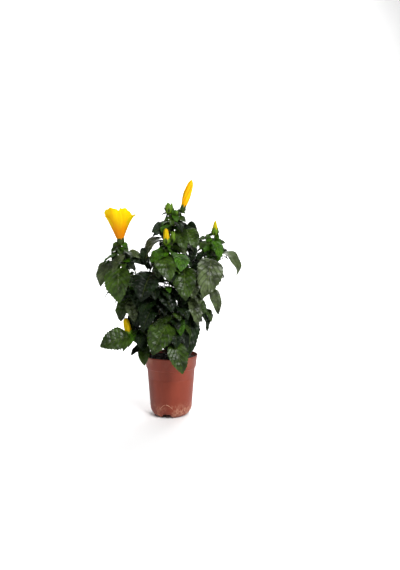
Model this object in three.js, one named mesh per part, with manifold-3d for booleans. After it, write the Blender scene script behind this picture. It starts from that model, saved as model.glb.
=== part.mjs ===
// A potted hibiscus shrub. Millimetres, +Z up, the origin at ground level under the middle of the
// pot, and -Y the side with the open flower on the left. Compass angles are in degrees, 0 towards
// -Y and 90 towards +X.
import * as THREE from "three";
import { mergeVertices } from "three/addons/utils/BufferGeometryUtils.js";
import Module from "manifold-3d";

const wasm = await Module();
wasm.setup();

// Pot
const POT_HEIGHT = 149;
const RIM_RADIUS = 66.5;
const RIM_FOOT_RADIUS = 61.5;
const RIM_DEPTH = 31;
const BODY_TOP_RADIUS = 59.5;
const BODY_FOOT_RADIUS = 52;
const FOOT_RADIUS = 34;
const FOOT_RING_WIDTH = 3;
const FOOT_ROUND_HEIGHT = 24;
const WALL = 1.5;
const LIP_WIDTH = 2.2;
const LIP_ROUND = 0.4;
const RIM_STEP = 0.5;
const FLOOR_HEIGHT = 16;
const POT_SIDES = 32;
const NOTCH_ANGLES = [-13, 77, 167, 257];
const NOTCH_FOOT_WIDTH = 31;
const NOTCH_TOP_WIDTH = 16;
const NOTCH_HEIGHT = 12;
const DRAIN_ANGLES = [32, 122, 212, 302];
const DRAIN_RADIUS = 5;
const DRAIN_PLACE = 30;
const DRAIN_SIDES = 12;

// Potting mix
const SOIL_EDGE_HEIGHT = 140;
const SOIL_MIDDLE_HEIGHT = 143;
const SOIL_FLAT_RADIUS = 16;
const SOIL_SHOULDER_RADIUS = 32;
const SOIL_SHOULDER_DROP = 0.8;

// The gap between pieces that touch on the real plant, and how far a neighbour is looked for
const CLEARANCE = 0.3;
const NEAR = 1;

// The sizes under which edges are merged, points are one and a path counts as straight
const SLIVER = 0.1;
const SAME_PLACE = 1e-4;
const STRAIGHT = 1e-3;

// Trunk and boughs
const GROUND = SOIL_MIDDLE_HEIGHT + CLEARANCE;
const TRUNK_FOOT = [0, 0, GROUND - 3];
const TRUNK_BEND = [-3, 2, 170];
const TRUNK_TOP = [3, 2, 194];
const TRUNK_FOOT_RADIUS = 6.6;
const TRUNK_TOP_RADIUS = 4.8;
const FLARE_RADIUS = 4.4;
const FLARE_LOBES = 4;
const FLARE_RIDGE = 0.35;
const FLARE_FADE = 7;
const TRUNK_SIDES = 12;
const TRUNK_STEPS = 7;
const LIMB_SIDES = 5;
const LIMB_STEPS = 6;
const BOUGH_REACH = 0.6;
const BOUGH_RISE = 0.4;
const STEM_FOLLOW = 0.45;
const BOUGH_TIP_RADIUS = 2;
const STEM_TIP_RADIUS = 1.4;
const TWIG_RADIUS = 1.2;
const STALK_RADIUS = 0.9;
const STALK_ARCH = 0.14;
const STALK_SIDES = 3;
const BUD_START = 0.86;

// Each bough: how far up the trunk it starts, the place of its tip, and its radius at the trunk.
const BOUGHS = {
  bough_left: { start: 0.62, tip: [-92, -12, 300], radius: 3.6 },
  bough_middle: { start: 1, tip: [3, 12, 372], radius: 4.2 },
  bough_front: { start: 0.78, tip: [-4, -32, 318], radius: 3.4 },
  bough_right: { start: 0.8, tip: [78, 0, 322], radius: 3.6 },
  bough_left_side: { start: 0.36, tip: [-60, -34, 252], radius: 3 },
  bough_front_side: { start: 0.5, tip: [-26, -40, 252], radius: 3 },
  bough_right_side: { start: 0.48, tip: [46, -28, 256], radius: 3 },
  bough_low_left: { start: 0.16, tip: [-46, -26, 180], radius: 2.8 },
  bough_low_front: { start: 0.2, tip: [6, -38, 192], radius: 2.8 },
  bough_low_right: { start: 0.22, tip: [42, 2, 198], radius: 2.8 },
  bough_back: { start: 0.86, tip: [-4, 50, 330], radius: 3.4 },
  bough_back_left: { start: 0.5, tip: [-60, 46, 262], radius: 3.2 },
  bough_back_right: { start: 0.6, tip: [60, 48, 262], radius: 3.2 },
  bough_low_back: { start: 0.3, tip: [4, 42, 196], radius: 2.8 },
};

// Each leafy shoot: its bough, where its stem ends, its stem leaves and side twigs, the length of
// its lowest leaves, and the middle and half size of the space that it keeps to.
const SHOOTS = {
  foliage_left_top: {
    bough: "bough_left", end: [-119, -20, 404], leaves: 8, twigs: 1, size: 70, seed: 3,
    middle: [-124, -2, 340], half: [50, 62, 74],
  },
  foliage_top: {
    bough: "bough_middle", end: [9, 13, 476], leaves: 8, twigs: 1, size: 70, seed: 5,
    middle: [10, 20, 436], half: [62, 58, 66],
  },
  foliage_front_top: {
    bough: "bough_front", end: [-8, -58, 408], leaves: 8, twigs: 1, size: 64, seed: 7,
    middle: [-4, -64, 372], half: [56, 60, 62],
  },
  foliage_right_top: {
    bough: "bough_right", end: [108, 8, 430], leaves: 8, twigs: 1, size: 70, seed: 11,
    middle: [96, 10, 385], half: [54, 64, 62],
  },
  foliage_left_middle: {
    bough: "bough_left_side", end: [-92, -34, 334], leaves: 9, twigs: 1, size: 72, seed: 13,
    middle: [-88, -26, 286], half: [46, 64, 70],
  },
  foliage_front_middle: {
    bough: "bough_front_side", end: [-38, -50, 346], leaves: 8, twigs: 1, size: 74, seed: 17,
    middle: [-32, -62, 288], half: [54, 62, 78],
  },
  foliage_right_middle: {
    bough: "bough_right_side", end: [62, -40, 356], leaves: 8, twigs: 1, size: 76, seed: 19,
    middle: [56, -42, 304], half: [50, 70, 80],
  },
  foliage_left_low: {
    bough: "bough_low_left", end: [-90, -44, 206], leaves: 6, twigs: 1, size: 66, seed: 23,
    middle: [-72, -34, 204], half: [52, 56, 50],
  },
  foliage_front_low: {
    bough: "bough_low_front", end: [8, -58, 256], leaves: 7, twigs: 1, size: 72, seed: 29,
    middle: [-2, -66, 222], half: [62, 54, 66],
  },
  foliage_right_low: {
    bough: "bough_low_right", end: [62, -2, 268], leaves: 7, twigs: 1, size: 72, seed: 31,
    middle: [44, -4, 224], half: [40, 70, 66],
  },
  foliage_back_top: {
    bough: "bough_back", end: [-8, 62, 430], leaves: 10, twigs: 1, size: 74, seed: 37,
    middle: [0, 68, 396], half: [66, 60, 74],
  },
  foliage_back_left: {
    bough: "bough_back_left", end: [-92, 56, 356], leaves: 11, twigs: 1, size: 78, seed: 41,
    middle: [-80, 62, 300], half: [66, 64, 84],
  },
  foliage_back_right: {
    bough: "bough_back_right", end: [86, 60, 366], leaves: 11, twigs: 1, size: 78, seed: 43,
    middle: [76, 62, 312], half: [66, 64, 86],
  },
  foliage_back_low: {
    bough: "bough_low_back", end: [10, 68, 256], leaves: 8, twigs: 1, size: 74, seed: 47,
    middle: [2, 68, 222], half: [76, 62, 70],
  },
};

// Leaves that make the outline and the front: shoot, the blade's foot and tip, the compass angle
// that its face looks to, its width as a share of its length, and its bend where that is its own.
const PLACED_LEAVES = [
  ["foliage_left_top", [-142, -15, 381], [-167, -35, 320], -30, 0.66],
  ["foliage_left_top", [-121, -50, 365], [-117, -84, 286], -15, 0.72],
  ["foliage_left_top", [-110, -42, 396], [-134, -62, 352], -40, 0.6],
  ["foliage_left_top", [-103, -6, 404], [-70, -14, 387], 20, 0.55],
  ["foliage_left_top", [-99, -6, 392], [-64, -12, 371], 15, 0.56],
  ["foliage_top", [18, -12, 457], [37, -46, 408], -25, 0.64],
  ["foliage_top", [36, -4, 458], [62, -34, 412], 8, 0.72],
  ["foliage_top", [40, 26, 470], [66, 8, 455], -20, 0.85],
  ["foliage_top", [-14, 12, 463], [-46, -22, 450], 30, 0.76],
  ["foliage_top", [-20, 0, 438], [-60, -16, 374], -50, 0.52, 100],
  ["foliage_front_top", [-9, -66, 402], [-46, -98, 378], -25, 0.66],
  ["foliage_front_top", [-18, -82, 391], [-2, -118, 336], 5, 0.72],
  ["foliage_front_top", [19, -72, 398], [22, -106, 358], 25, 0.8],
  ["foliage_right_top", [127, 0, 402], [162, -6, 343], 45, 0.6, 118],
  ["foliage_right_top", [96, -50, 386], [73, -92, 297], 15, 0.62],
  ["foliage_right_top", [106, -8, 430], [117, -34, 384], 25, 0.55],
  ["foliage_right_top", [100, -14, 314], [115, -30, 250], 10, 0.42, 60],
  ["foliage_left_middle", [-88, -42, 340], [-117, -60, 287], 10, 0.66],
  ["foliage_left_middle", [-108, -34, 290], [-118, -50, 238], -30, 0.6],
  ["foliage_left_middle", [-94, -50, 294], [-84, -72, 240], -5, 0.52],
  ["foliage_front_middle", [-44, -66, 356], [-67, -106, 290], -10, 0.78],
  ["foliage_front_middle", [-38, -62, 280], [-66, -88, 218], -15, 0.56],
  ["foliage_right_middle", [31, -66, 365], [34, -106, 292], -8, 0.66],
  ["foliage_right_middle", [46, -56, 296], [62, -74, 230], 25, 0.5],
  ["foliage_right_middle", [44, -42, 256], [38, -74, 154], 20, 0.42],
  ["foliage_left_low", [-98, -62, 204], [-162, -88, 186], -12, 0.8],
  ["foliage_left_low", [-94, -30, 202], [-114, -40, 164], -30, 0.5],
  ["foliage_left_low", [-68, -34, 178], [-96, -46, 156], -30, 0.5],
  ["foliage_left_low", [-62, -48, 180], [-62, -76, 138], -10, 0.6],
  ["foliage_front_low", [-7, -84, 237], [-41, -120, 172], -12, 0.78],
  ["foliage_front_low", [7, -78, 190], [26, -104, 124], 8, 0.62],
  ["foliage_front_low", [16, -72, 250], [23, -92, 210], 10, 0.6],
  ["foliage_right_low", [68, -14, 270], [88, -22, 206], 60, 0.4],
  ["foliage_right_low", [68, -24, 289], [80, -40, 254], 30, 0.5],
  ["foliage_right_low", [87, -8, 264], [98, -26, 231], 30, 0.5],
];

// Buds fused to the shoots: shoot, the foot and tip of the bud, and its radius.
const BUDS = [
  ["foliage_top", [-4, 10, 498], [-4, 11, 526], 8.2],
  ["foliage_top", [14, 3, 490], [13, 2, 508], 4],
  ["foliage_front_top", [-9, -62, 418], [-11, -61, 457], 7],
  ["foliage_front_top", [6, -54, 424], [5, -52, 452], 4.6],
  ["foliage_right_top", [110, 8, 444], [111, 8, 482], 6.5],
  ["foliage_left_low", [-96, -44, 213], [-110, -50, 246], 7.5],
];

// Places that stay open from the front, as rounds in the plane y = 0: x, z and radius. They run
// back and forth along the lines that meet at the viewpoint.
const VIEWPOINT = [0, -1150, 388];
const OPEN_PLACES = [
  [-79, 352, 17],
  [-93, 452, 34],
  [-26, 320, 8],
  [135, 300, 34],
  [92, 466, 14],
  [-148, 284, 9],
  [-108, 224, 14],
  [110, 196, 42],
  [97, 229, 18],
  [102, 276, 10],
  [87, 277, 7],
  [77, 166, 20],
  [132, 374, 13],
  [-46, 408, 12],
];

// Leaf rule
const GOLDEN_ANGLE = 137.5;
const LEAF_THICKNESS = 1.3;
const LEAF_FOLD = 0.22;
const LEAF_BEND = 50;
const LEAF_WIDTHS = [0.6, 0.74];
const FOOT_POWER = 0.55;
const TIP_POWER = 0.95;
const STALK_RINGS = [0.05, 1];
const BLADE_RINGS = [0.1, 0.35, 0.65, 0.9];
const SMALLEST_LEAF = 0.36;
const FIRST_LEAF = 0.06;
const ROOT_PLACES = 16;
const STALK_LIFT = 8;
const PLACED_FACE_PITCH = 25;
const COMPASS_PLAY = [-14, 14];
const LENGTH_PLAY = [0.86, 1.08];
const SPACE_RINGS = [0.15, 0.4, 0.7, 1];
const LEAF_STALKS = [18, 36];
const STALK_PITCH = [22, 48];
const BLADE_PITCH = [-72, -34];
const FACE_PITCH = [20, 50];
const TURNS = [0, 30, -30, 60, -60, 95, -95, 140];
const SHRINK = 0.05;
const TWIG_PLACES = [0.25, 0.75];
const TWIG_TURN = 75;
const TWIG_LENGTHS = [26, 42];
const TWIG_PITCH = [15, 40];
const TWIG_LEAVES = 3;
const SEED_STEP = 104729;
const DRAW_FACTOR = 16807;
const DRAW_RANGE = 2147483647;

// Flowers and buds. Profiles are [share of the radius, share of the length].
const PETALS = 5;
const OPEN_FLOWER = {
  shoot: "foliage_left_top", foot: [-120, -20, 418], tip: [-121, -21, 507], calyx: 8.4,
};
const COROLLA_LENGTH = 72;
const COROLLA_RADIUS = 35;
const COROLLA_TUBE_RADIUS = 7;
const COROLLA_SHELL = 0.9;
const COROLLA_THROAT = 3.6;
const COROLLA_RINGS = [0, 0.26, 0.5, 0.74, 1];
const COROLLA_FLARE = 1.12;
const PETAL_COMPASS = -32;
const PETAL_SPREAD = 0.07;
const PETAL_RISE = 4;
const FURLED_FLOWER = {
  shoot: "foliage_top", foot: [27, 20, 501], tip: [53, 20, 583], calyx: 6.4,
};
const FURLED_RADIUS = 8.6;
const FURLED_PROFILE = [[0, 0], [0.55, 0], [0.86, 0.2], [1, 0.45], [0.92, 0.7], [0.6, 0.92], [0, 1]];
const FURLED_TWIST = 100;
const FURLED_SWELL = 0.09;
const CALYX_LENGTH = 22;
const CALYX_PROFILE = [[0, -0.07], [0.4, 0], [0.95, 0.45], [1, 0.8], [0.6, 0.8], [0, 0.5]];
const CALYX_LOBE = 0.2;
const CALYX_HOLD = 0.6;
const BRACT_RADIUS = 1.6;
const BRACT_LENGTH = 12;
const BRACT_LEAN = 58;
const BRACT_SINK = 1;
const BUD_PROFILE = [[0, -0.04], [0.55, 0], [1, 0.3], [0.72, 0.65], [0, 1]];
const BUD_SIDES = 6;

const MATERIALS = {
  pot: new THREE.MeshStandardMaterial({ color: 0x9a5242, roughness: 0.55, metalness: 0 }),
  soil: new THREE.MeshStandardMaterial({ color: 0x241a12, roughness: 0.95, metalness: 0 }),
  bark: new THREE.MeshStandardMaterial({ color: 0x75695a, roughness: 0.85, metalness: 0 }),
  leaf: new THREE.MeshStandardMaterial({ color: 0x34502a, roughness: 0.4, metalness: 0 }),
  petal: new THREE.MeshStandardMaterial({ color: 0xf9c410, roughness: 0.5, metalness: 0 }),
};

const object = new THREE.Group();
const radians = THREE.MathUtils.degToRad;
const mix = THREE.MathUtils.lerp;
const vector = (place) => new THREE.Vector3(...place);
const UPWARD = new THREE.Vector3(0, 0, 1);

// Solids

function signedVolume(places, triangles) {
  const [a, b, c] = [new THREE.Vector3(), new THREE.Vector3(), new THREE.Vector3()];
  let volume = 0;
  for (let i = 0; i < triangles.length; i += 3) {
    a.fromBufferAttribute(places, triangles[i]);
    b.fromBufferAttribute(places, triangles[i + 1]);
    c.fromBufferAttribute(places, triangles[i + 2]);
    volume += a.dot(b.cross(c)) / 6;
  }
  return volume;
}

function solidOf(geometry) {
  geometry.deleteAttribute("normal");
  geometry.deleteAttribute("uv");
  const merged = mergeVertices(geometry, SAME_PLACE);
  const places = merged.attributes.position;
  const index = merged.index.array;
  const triangles = [];
  for (let i = 0; i < index.length; i += 3) {
    const [a, b, c] = [index[i], index[i + 1], index[i + 2]];
    if (a !== b && b !== c && c !== a) {
      triangles.push(a, b, c);
    }
  }
  if (signedVolume(places, triangles) < 0) {
    triangles.reverse();
  }
  const vertProperties = Float32Array.from(places.array);
  const triVerts = Uint32Array.from(triangles);
  return new wasm.Manifold(new wasm.Mesh({ numProp: 3, vertProperties, triVerts }));
}

function join(solids) {
  return solids.reduce((whole, solid) => whole.add(solid));
}

// The largest outer skin of a solid: a loose scrap or a sealed hollow is a skin of its own.
function onePiece(solid) {
  const pieces = solid.simplify(SLIVER).decompose();
  return pieces.reduce((best, piece) => (piece.volume() > best.volume() ? piece : best));
}

function addNode(name, solid, material) {
  const mesh = onePiece(solid).getMesh();
  const geometry = new THREE.BufferGeometry();
  geometry.setAttribute("position", new THREE.BufferAttribute(mesh.vertProperties, 3));
  geometry.setIndex(new THREE.BufferAttribute(mesh.triVerts, 1));
  const node = new THREE.Mesh(geometry, material.clone());
  node.name = name;
  object.add(node);
}

// A round solid with the profile [radius, height] turned about Z.
function turned(profile, sides) {
  const points = profile.map(([radius, height]) => new THREE.Vector2(radius, height));
  return new THREE.LatheGeometry(points, sides).rotateX(Math.PI / 2);
}

// Moves each vertex of a geometry to the place that the rule gives for it.
function reshape(geometry, rule) {
  const places = geometry.attributes.position;
  const place = new THREE.Vector3();
  for (let i = 0; i < places.count; i += 1) {
    place.fromBufferAttribute(places, i);
    places.setXYZ(i, ...rule(place));
  }
  return geometry;
}

// A tapering tube bent along a path, which lies in one plane.
function tube(path, radiusAt, sides, steps) {
  const start = path.getTangent(0);
  const across = start.clone().cross(path.getTangent(1));
  if (across.length() < STRAIGHT) {
    across.set(start.z, start.x, -start.y).cross(start);
  }
  across.normalize();
  return reshape(new THREE.CylinderGeometry(1, 1, 1, sides, steps), (place) => {
    const share = place.y + 0.5;
    const side = path.getTangent(share).cross(across);
    const radius = radiusAt(share, Math.atan2(place.z, place.x));
    const point = path.getPoint(share);
    point.addScaledVector(side, place.x * radius);
    point.addScaledVector(across, place.z * radius);
    return point;
  });
}

function curve(from, bend, to) {
  return new THREE.QuadraticBezierCurve3(vector(from), vector(bend), vector(to));
}

function direction(compass, pitch) {
  const [turn, rise] = [radians(compass), radians(pitch)];
  return new THREE.Vector3(
    Math.sin(turn) * Math.cos(rise),
    -Math.cos(turn) * Math.cos(rise),
    Math.sin(rise),
  );
}

// Pot and potting mix

function bodyRadius(height) {
  const share = (height - FOOT_ROUND_HEIGHT) / (POT_HEIGHT - RIM_DEPTH - FOOT_ROUND_HEIGHT);
  return mix(BODY_FOOT_RADIUS, BODY_TOP_RADIUS, share);
}

function footRound(reach) {
  const points = [];
  for (let angle = 0; angle < 90; angle += 22.5) {
    const out = (BODY_FOOT_RADIUS - FOOT_RADIUS) * Math.sin(radians(angle));
    points.push([reach + out, FOOT_ROUND_HEIGHT * (1 - Math.cos(radians(angle)))]);
  }
  return points;
}

function makePot() {
  const rimFoot = POT_HEIGHT - RIM_DEPTH;
  const innerRound = footRound(FOOT_RADIUS - WALL).slice(1);
  const profile = [
    [0, FLOOR_HEIGHT],
    [bodyRadius(FLOOR_HEIGHT) - WALL, FLOOR_HEIGHT],
    ...innerRound.reverse(),
    [FOOT_RADIUS - FOOT_RING_WIDTH, 0],
    ...footRound(FOOT_RADIUS),
    [BODY_FOOT_RADIUS, FOOT_ROUND_HEIGHT],
    [BODY_TOP_RADIUS, rimFoot],
    [RIM_FOOT_RADIUS, rimFoot + RIM_STEP],
    [RIM_RADIUS, POT_HEIGHT - WALL],
    [RIM_RADIUS - LIP_ROUND, POT_HEIGHT],
    [RIM_RADIUS - LIP_WIDTH + LIP_ROUND, POT_HEIGHT],
    [RIM_RADIUS - LIP_WIDTH, POT_HEIGHT - WALL],
    [RIM_FOOT_RADIUS - WALL, rimFoot + WALL],
    [BODY_TOP_RADIUS - WALL, rimFoot + 2 * RIM_STEP],
    [BODY_FOOT_RADIUS - WALL, FOOT_ROUND_HEIGHT],
    [bodyRadius(FLOOR_HEIGHT) - WALL, FLOOR_HEIGHT + WALL],
    [0, FLOOR_HEIGHT + WALL],
  ];
  const cutters = NOTCH_ANGLES.map(notchCutter).concat(DRAIN_ANGLES.map(drainCutter));
  return solidOf(turned(profile, POT_SIDES)).subtract(join(cutters));
}

function notchCutter(compass) {
  const outline = new THREE.Shape([
    new THREE.Vector2(-NOTCH_FOOT_WIDTH / 2, 0),
    new THREE.Vector2(-NOTCH_FOOT_WIDTH / 2, -WALL),
    new THREE.Vector2(NOTCH_FOOT_WIDTH / 2, -WALL),
    new THREE.Vector2(NOTCH_FOOT_WIDTH / 2, 0),
    new THREE.Vector2(NOTCH_TOP_WIDTH / 2, NOTCH_HEIGHT),
    new THREE.Vector2(-NOTCH_TOP_WIDTH / 2, NOTCH_HEIGHT),
  ]);
  const cutter = new THREE.ExtrudeGeometry(outline, { depth: RIM_RADIUS, bevelEnabled: false });
  return solidOf(cutter.rotateX(Math.PI / 2).rotateZ(radians(compass)));
}

function drainCutter(compass) {
  const cutter = new THREE.CylinderGeometry(DRAIN_RADIUS, DRAIN_RADIUS, 4 * WALL, DRAIN_SIDES);
  cutter.rotateX(Math.PI / 2).translate(0, -DRAIN_PLACE, FLOOR_HEIGHT + WALL / 2);
  return solidOf(cutter.rotateZ(radians(compass)));
}

function makeSoil() {
  const rimFoot = POT_HEIGHT - RIM_DEPTH;
  const rise = (SOIL_EDGE_HEIGHT - rimFoot) / (RIM_DEPTH - WALL);
  const edge = mix(RIM_FOOT_RADIUS - WALL, RIM_RADIUS - LIP_WIDTH, rise) - 2 * CLEARANCE;
  const gap = WALL + CLEARANCE;
  const foot = FLOOR_HEIGHT + WALL + CLEARANCE;
  return solidOf(turned([
    [0, foot],
    [bodyRadius(FLOOR_HEIGHT) - gap - CLEARANCE, foot],
    [BODY_FOOT_RADIUS - gap, FOOT_ROUND_HEIGHT],
    [BODY_TOP_RADIUS - gap, rimFoot + WALL],
    [RIM_FOOT_RADIUS - gap - CLEARANCE, rimFoot + 2 * WALL],
    [edge, SOIL_EDGE_HEIGHT],
    [SOIL_SHOULDER_RADIUS, SOIL_MIDDLE_HEIGHT - SOIL_SHOULDER_DROP],
    [SOIL_FLAT_RADIUS, SOIL_MIDDLE_HEIGHT],
    [0, SOIL_MIDDLE_HEIGHT],
  ], POT_SIDES / 2));
}

// Trunk, boughs and stems. Each has a path and a radius along it.

const trunk = {
  path: curve(TRUNK_FOOT, TRUNK_BEND, TRUNK_TOP),
  radiusAt: (share, angle) => {
    const ridge = 1 + FLARE_RIDGE * Math.cos(FLARE_LOBES * angle);
    const flare = FLARE_RADIUS * Math.exp(-FLARE_FADE * share) * ridge;
    return mix(TRUNK_FOOT_RADIUS, TRUNK_TOP_RADIUS, share) + flare;
  },
};

// A bough leaves the trunk low and turns up towards its tip.
function boughLimb({ start, tip, radius }) {
  const from = trunk.path.getPoint(start);
  const end = vector(tip);
  const bend = from.clone().lerp(end, BOUGH_REACH);
  bend.z = mix(from.z, end.z, BOUGH_RISE);
  const path = new THREE.QuadraticBezierCurve3(from, bend, end);
  return { path, radiusAt: (share) => mix(radius, BOUGH_TIP_RADIUS, share) };
}

// A stem starts just past its bough's tip, runs on the same way and bends to its own end.
function stemLimb(bough, end) {
  const along = bough.path.getTangent(1);
  const from = bough.path.getPoint(1).addScaledVector(along, CLEARANCE);
  const bend = from.clone().addScaledVector(along, STEM_FOLLOW * from.distanceTo(vector(end)));
  const path = new THREE.QuadraticBezierCurve3(from, bend, vector(end));
  return { path, radiusAt: (share) => mix(BOUGH_TIP_RADIUS, STEM_TIP_RADIUS, share) };
}

function twigLimb(from, along, length) {
  const bend = from.clone().addScaledVector(along, length / 2);
  const end = from.clone().addScaledVector(along, length);
  end.z += length * STALK_ARCH;
  const path = new THREE.QuadraticBezierCurve3(from, bend, end);
  return { path, radiusAt: (share) => mix(TWIG_RADIUS, STALK_RADIUS, share) };
}

// A limb with its clearance all round, which is what its neighbours are cut back from.
function grownSolid({ path, radiusAt }, sides, steps) {
  const radius = (share, angle) => radiusAt(share, angle) + CLEARANCE;
  return solidOf(tube(path, radius, sides, steps));
}

// Leaves. A leaf is one skin of four meridians, which are its margins and its upper and lower
// midrib, from its root in the stem over a few cross-sections to its tip. The blade's midrib is an
// arc that bulges towards the side that the face looks to.

function bladeFrame(leaf) {
  const chord = leaf.tip.clone().sub(leaf.foot);
  const length = chord.length();
  chord.normalize();
  const side = leaf.face.clone().cross(chord).normalize();
  const normal = chord.clone().cross(side);
  const half = radians(leaf.bend) / 2;
  const radius = length / (2 * Math.sin(half));
  return { chord, side, normal, length, half, radius };
}

// The blade's half width along it: broad and rounded near the foot, drawn out at the tip.
function outline(along) {
  const widest = FOOT_POWER / (FOOT_POWER + TIP_POWER);
  const shape = (share) => share ** FOOT_POWER * (1 - share) ** TIP_POWER;
  return shape(along) / shape(widest);
}

function bladeRing(leaf, frame, along) {
  const turn = frame.half * (2 * along - 1);
  const up = frame.normal.clone().multiplyScalar(Math.cos(turn));
  up.addScaledVector(frame.chord, Math.sin(turn));
  const run = frame.radius * (Math.sin(turn) + Math.sin(frame.half));
  const rise = frame.radius * (Math.cos(turn) - Math.cos(frame.half));
  const point = leaf.foot.clone().addScaledVector(frame.chord, run);
  point.addScaledVector(frame.normal, rise);
  const width = (leaf.broad * frame.length * outline(along)) / 2;
  return { point, side: frame.side, up, width, lift: LEAF_THICKNESS / 2, fold: LEAF_FOLD };
}

// The stalk's cross-sections lie square to its path and turn as little as they can.
function stalkRing(leaf, frame, along) {
  const path = stalkPath(leaf.root, leaf.foot);
  const way = path.getTangent(along);
  const side = frame.side.clone().addScaledVector(way, -way.dot(frame.side)).normalize();
  const up = way.cross(side);
  return { point: path.getPoint(along), side, up, width: STALK_RADIUS, lift: STALK_RADIUS, fold: 0 };
}

function stalkPath(from, to) {
  const bend = from.clone().add(to).multiplyScalar(0.5);
  bend.z += STALK_ARCH * from.distanceTo(to);
  return new THREE.QuadraticBezierCurve3(from, bend, to);
}

function ringPoint(ring, across, height) {
  const reach = across * ring.width;
  const point = ring.point.clone().addScaledVector(ring.side, reach);
  return point.addScaledVector(ring.up, Math.abs(reach) * ring.fold + height * ring.lift);
}

// A closed skin of four meridians from one point over the rings to another.
function loft(from, rings, to) {
  const last = rings.length + 1;
  return solidOf(reshape(new THREE.SphereGeometry(1, 4, last), (place) => {
    const row = Math.round((Math.acos(place.y) / Math.PI) * last);
    if (row === 0 || row === last) {
      return row === 0 ? from : to;
    }
    const girth = Math.sqrt(1 - place.y * place.y);
    return ringPoint(rings[row - 1], place.x / girth, place.z / girth);
  }));
}

function leafSolids(leaf) {
  const frame = bladeFrame(leaf);
  const blade = BLADE_RINGS.map((share) => bladeRing(leaf, frame, share));
  const stalk = STALK_RINGS.map((share) => stalkRing(leaf, frame, share));
  return {
    whole: loft(leaf.root, [...stalk, ...blade], leaf.tip),
    blade: loft(leaf.foot, blade, leaf.tip),
  };
}

// The point of the shoot's stem and twigs that a stalk to this place comes from.
function nearestPoint(axes, place) {
  const points = axes.flatMap((axis) => axis.path.getPoints(ROOT_PLACES).slice(1, -1));
  const cost = (point) => point.distanceTo(place) + Math.max(point.z - place.z + STALK_LIFT, 0);
  return points.reduce((best, point) => (cost(point) < cost(best) ? point : best));
}

// Buds, calyxes and flowers, turned about a line from foot to tip.

function along(geometry, foot, tip) {
  const line = vector(tip).sub(vector(foot)).normalize();
  const turn = new THREE.Quaternion().setFromUnitVectors(UPWARD, line);
  return geometry.applyQuaternion(turn).translate(...foot);
}

function scaled(profile, radius, length) {
  return profile.map(([out, share]) => [out * radius, share * length]);
}

function budSolid(foot, tip, radius) {
  const length = vector(tip).distanceTo(vector(foot));
  return solidOf(along(turned(scaled(BUD_PROFILE, radius, length), BUD_SIDES), foot, tip));
}

// A calyx: a cup with five pointed lobes, over a ring of narrow bracts.
function calyxSolid(foot, tip, radius) {
  const cup = reshape(turned(scaled(CALYX_PROFILE, radius, CALYX_LENGTH), 2 * PETALS), (place) => {
    const out = Math.hypot(place.x, place.y) / radius;
    const lobe = Math.cos(PETALS * Math.atan2(place.y, place.x));
    const isRim = place.z > CALYX_LENGTH * CALYX_HOLD;
    return [place.x, place.y, place.z + (isRim ? lobe * out * CALYX_LENGTH * CALYX_LOBE : 0)];
  });
  const bracts = [];
  for (let i = 0; i < PETALS; i += 1) {
    const bract = new THREE.ConeGeometry(BRACT_RADIUS, BRACT_LENGTH, 3);
    bract.translate(0, BRACT_LENGTH / 2 - BRACT_SINK, 0).rotateX(Math.PI / 2);
    bract.rotateY(radians(BRACT_LEAN)).rotateZ(radians((i * 360) / PETALS));
    bracts.push(solidOf(along(bract, foot, tip)));
  }
  return join([solidOf(along(cup, foot, tip)), ...bracts]);
}

function openCorolla({ foot, tip }) {
  const reach = COROLLA_RADIUS - COROLLA_TUBE_RADIUS;
  const outer = COROLLA_RINGS.map((share) => {
    return [COROLLA_TUBE_RADIUS + reach * share ** COROLLA_FLARE, share * COROLLA_LENGTH];
  });
  const inner = outer.slice(1).reverse().map(([radius, height]) => [radius - COROLLA_SHELL, height]);
  const profile = [[0, 0], ...outer, ...inner, [0, COROLLA_THROAT]];
  const funnel = reshape(turned(profile, 4 * PETALS), (place) => {
    const share = place.z / COROLLA_LENGTH;
    const compass = Math.atan2(place.y, place.x) + Math.PI / 2 - radians(PETAL_COMPASS);
    const petal = Math.cos(PETALS * compass);
    const spread = 1 + PETAL_SPREAD * share ** 2 * petal;
    return [place.x * spread, place.y * spread, place.z + PETAL_RISE * share ** 4 * petal];
  });
  return solidOf(along(funnel.translate(0, 0, CALYX_LENGTH * CALYX_HOLD), foot, tip));
}

function furledCorolla({ foot, tip }) {
  const length = vector(tip).distanceTo(vector(foot)) - CALYX_LENGTH * CALYX_HOLD;
  const profile = scaled(FURLED_PROFILE, FURLED_RADIUS, length);
  const spindle = reshape(turned(profile, 3 * PETALS), (place) => {
    const swell = 1 + FURLED_SWELL * Math.cos(PETALS * Math.atan2(place.y, place.x));
    const turn = radians((FURLED_TWIST * place.z) / length);
    return place.multiply({ x: swell, y: swell, z: 1 }).applyAxisAngle(UPWARD, turn);
  });
  return solidOf(along(spindle.translate(0, 0, CALYX_LENGTH * CALYX_HOLD), foot, tip));
}

// A flower's stalk starts just past the end of its shoot's stem.
function flowerStalk(stem, foot, tip) {
  const way = stem.path.getTangent(1);
  const from = stem.path.getPoint(1).addScaledVector(way, CLEARANCE);
  const up = vector(tip).sub(vector(foot)).normalize();
  const to = vector(foot).addScaledVector(up, STEM_TIP_RADIUS);
  const bend = from.clone().addScaledVector(way, STEM_FOLLOW * from.distanceTo(to));
  const path = new THREE.QuadraticBezierCurve3(from, bend, to);
  return solidOf(tube(path, () => STEM_TIP_RADIUS, LIMB_SIDES, 3));
}

function flowerSolid(shoots, flower, corolla) {
  const [stem] = shoots[flower.shoot].axes;
  const calyx = calyxSolid(flower.foot, flower.tip, flower.calyx);
  return join([flowerStalk(stem, flower.foot, flower.tip), calyx, corolla]);
}

// Keeping clear. Everything that stands is kept here, and what would come close is skipped.

const standing = [];

function stand(owner, kind, solid) {
  standing.push({ owner, kind, solid, box: solid.boundingBox() });
}

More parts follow.
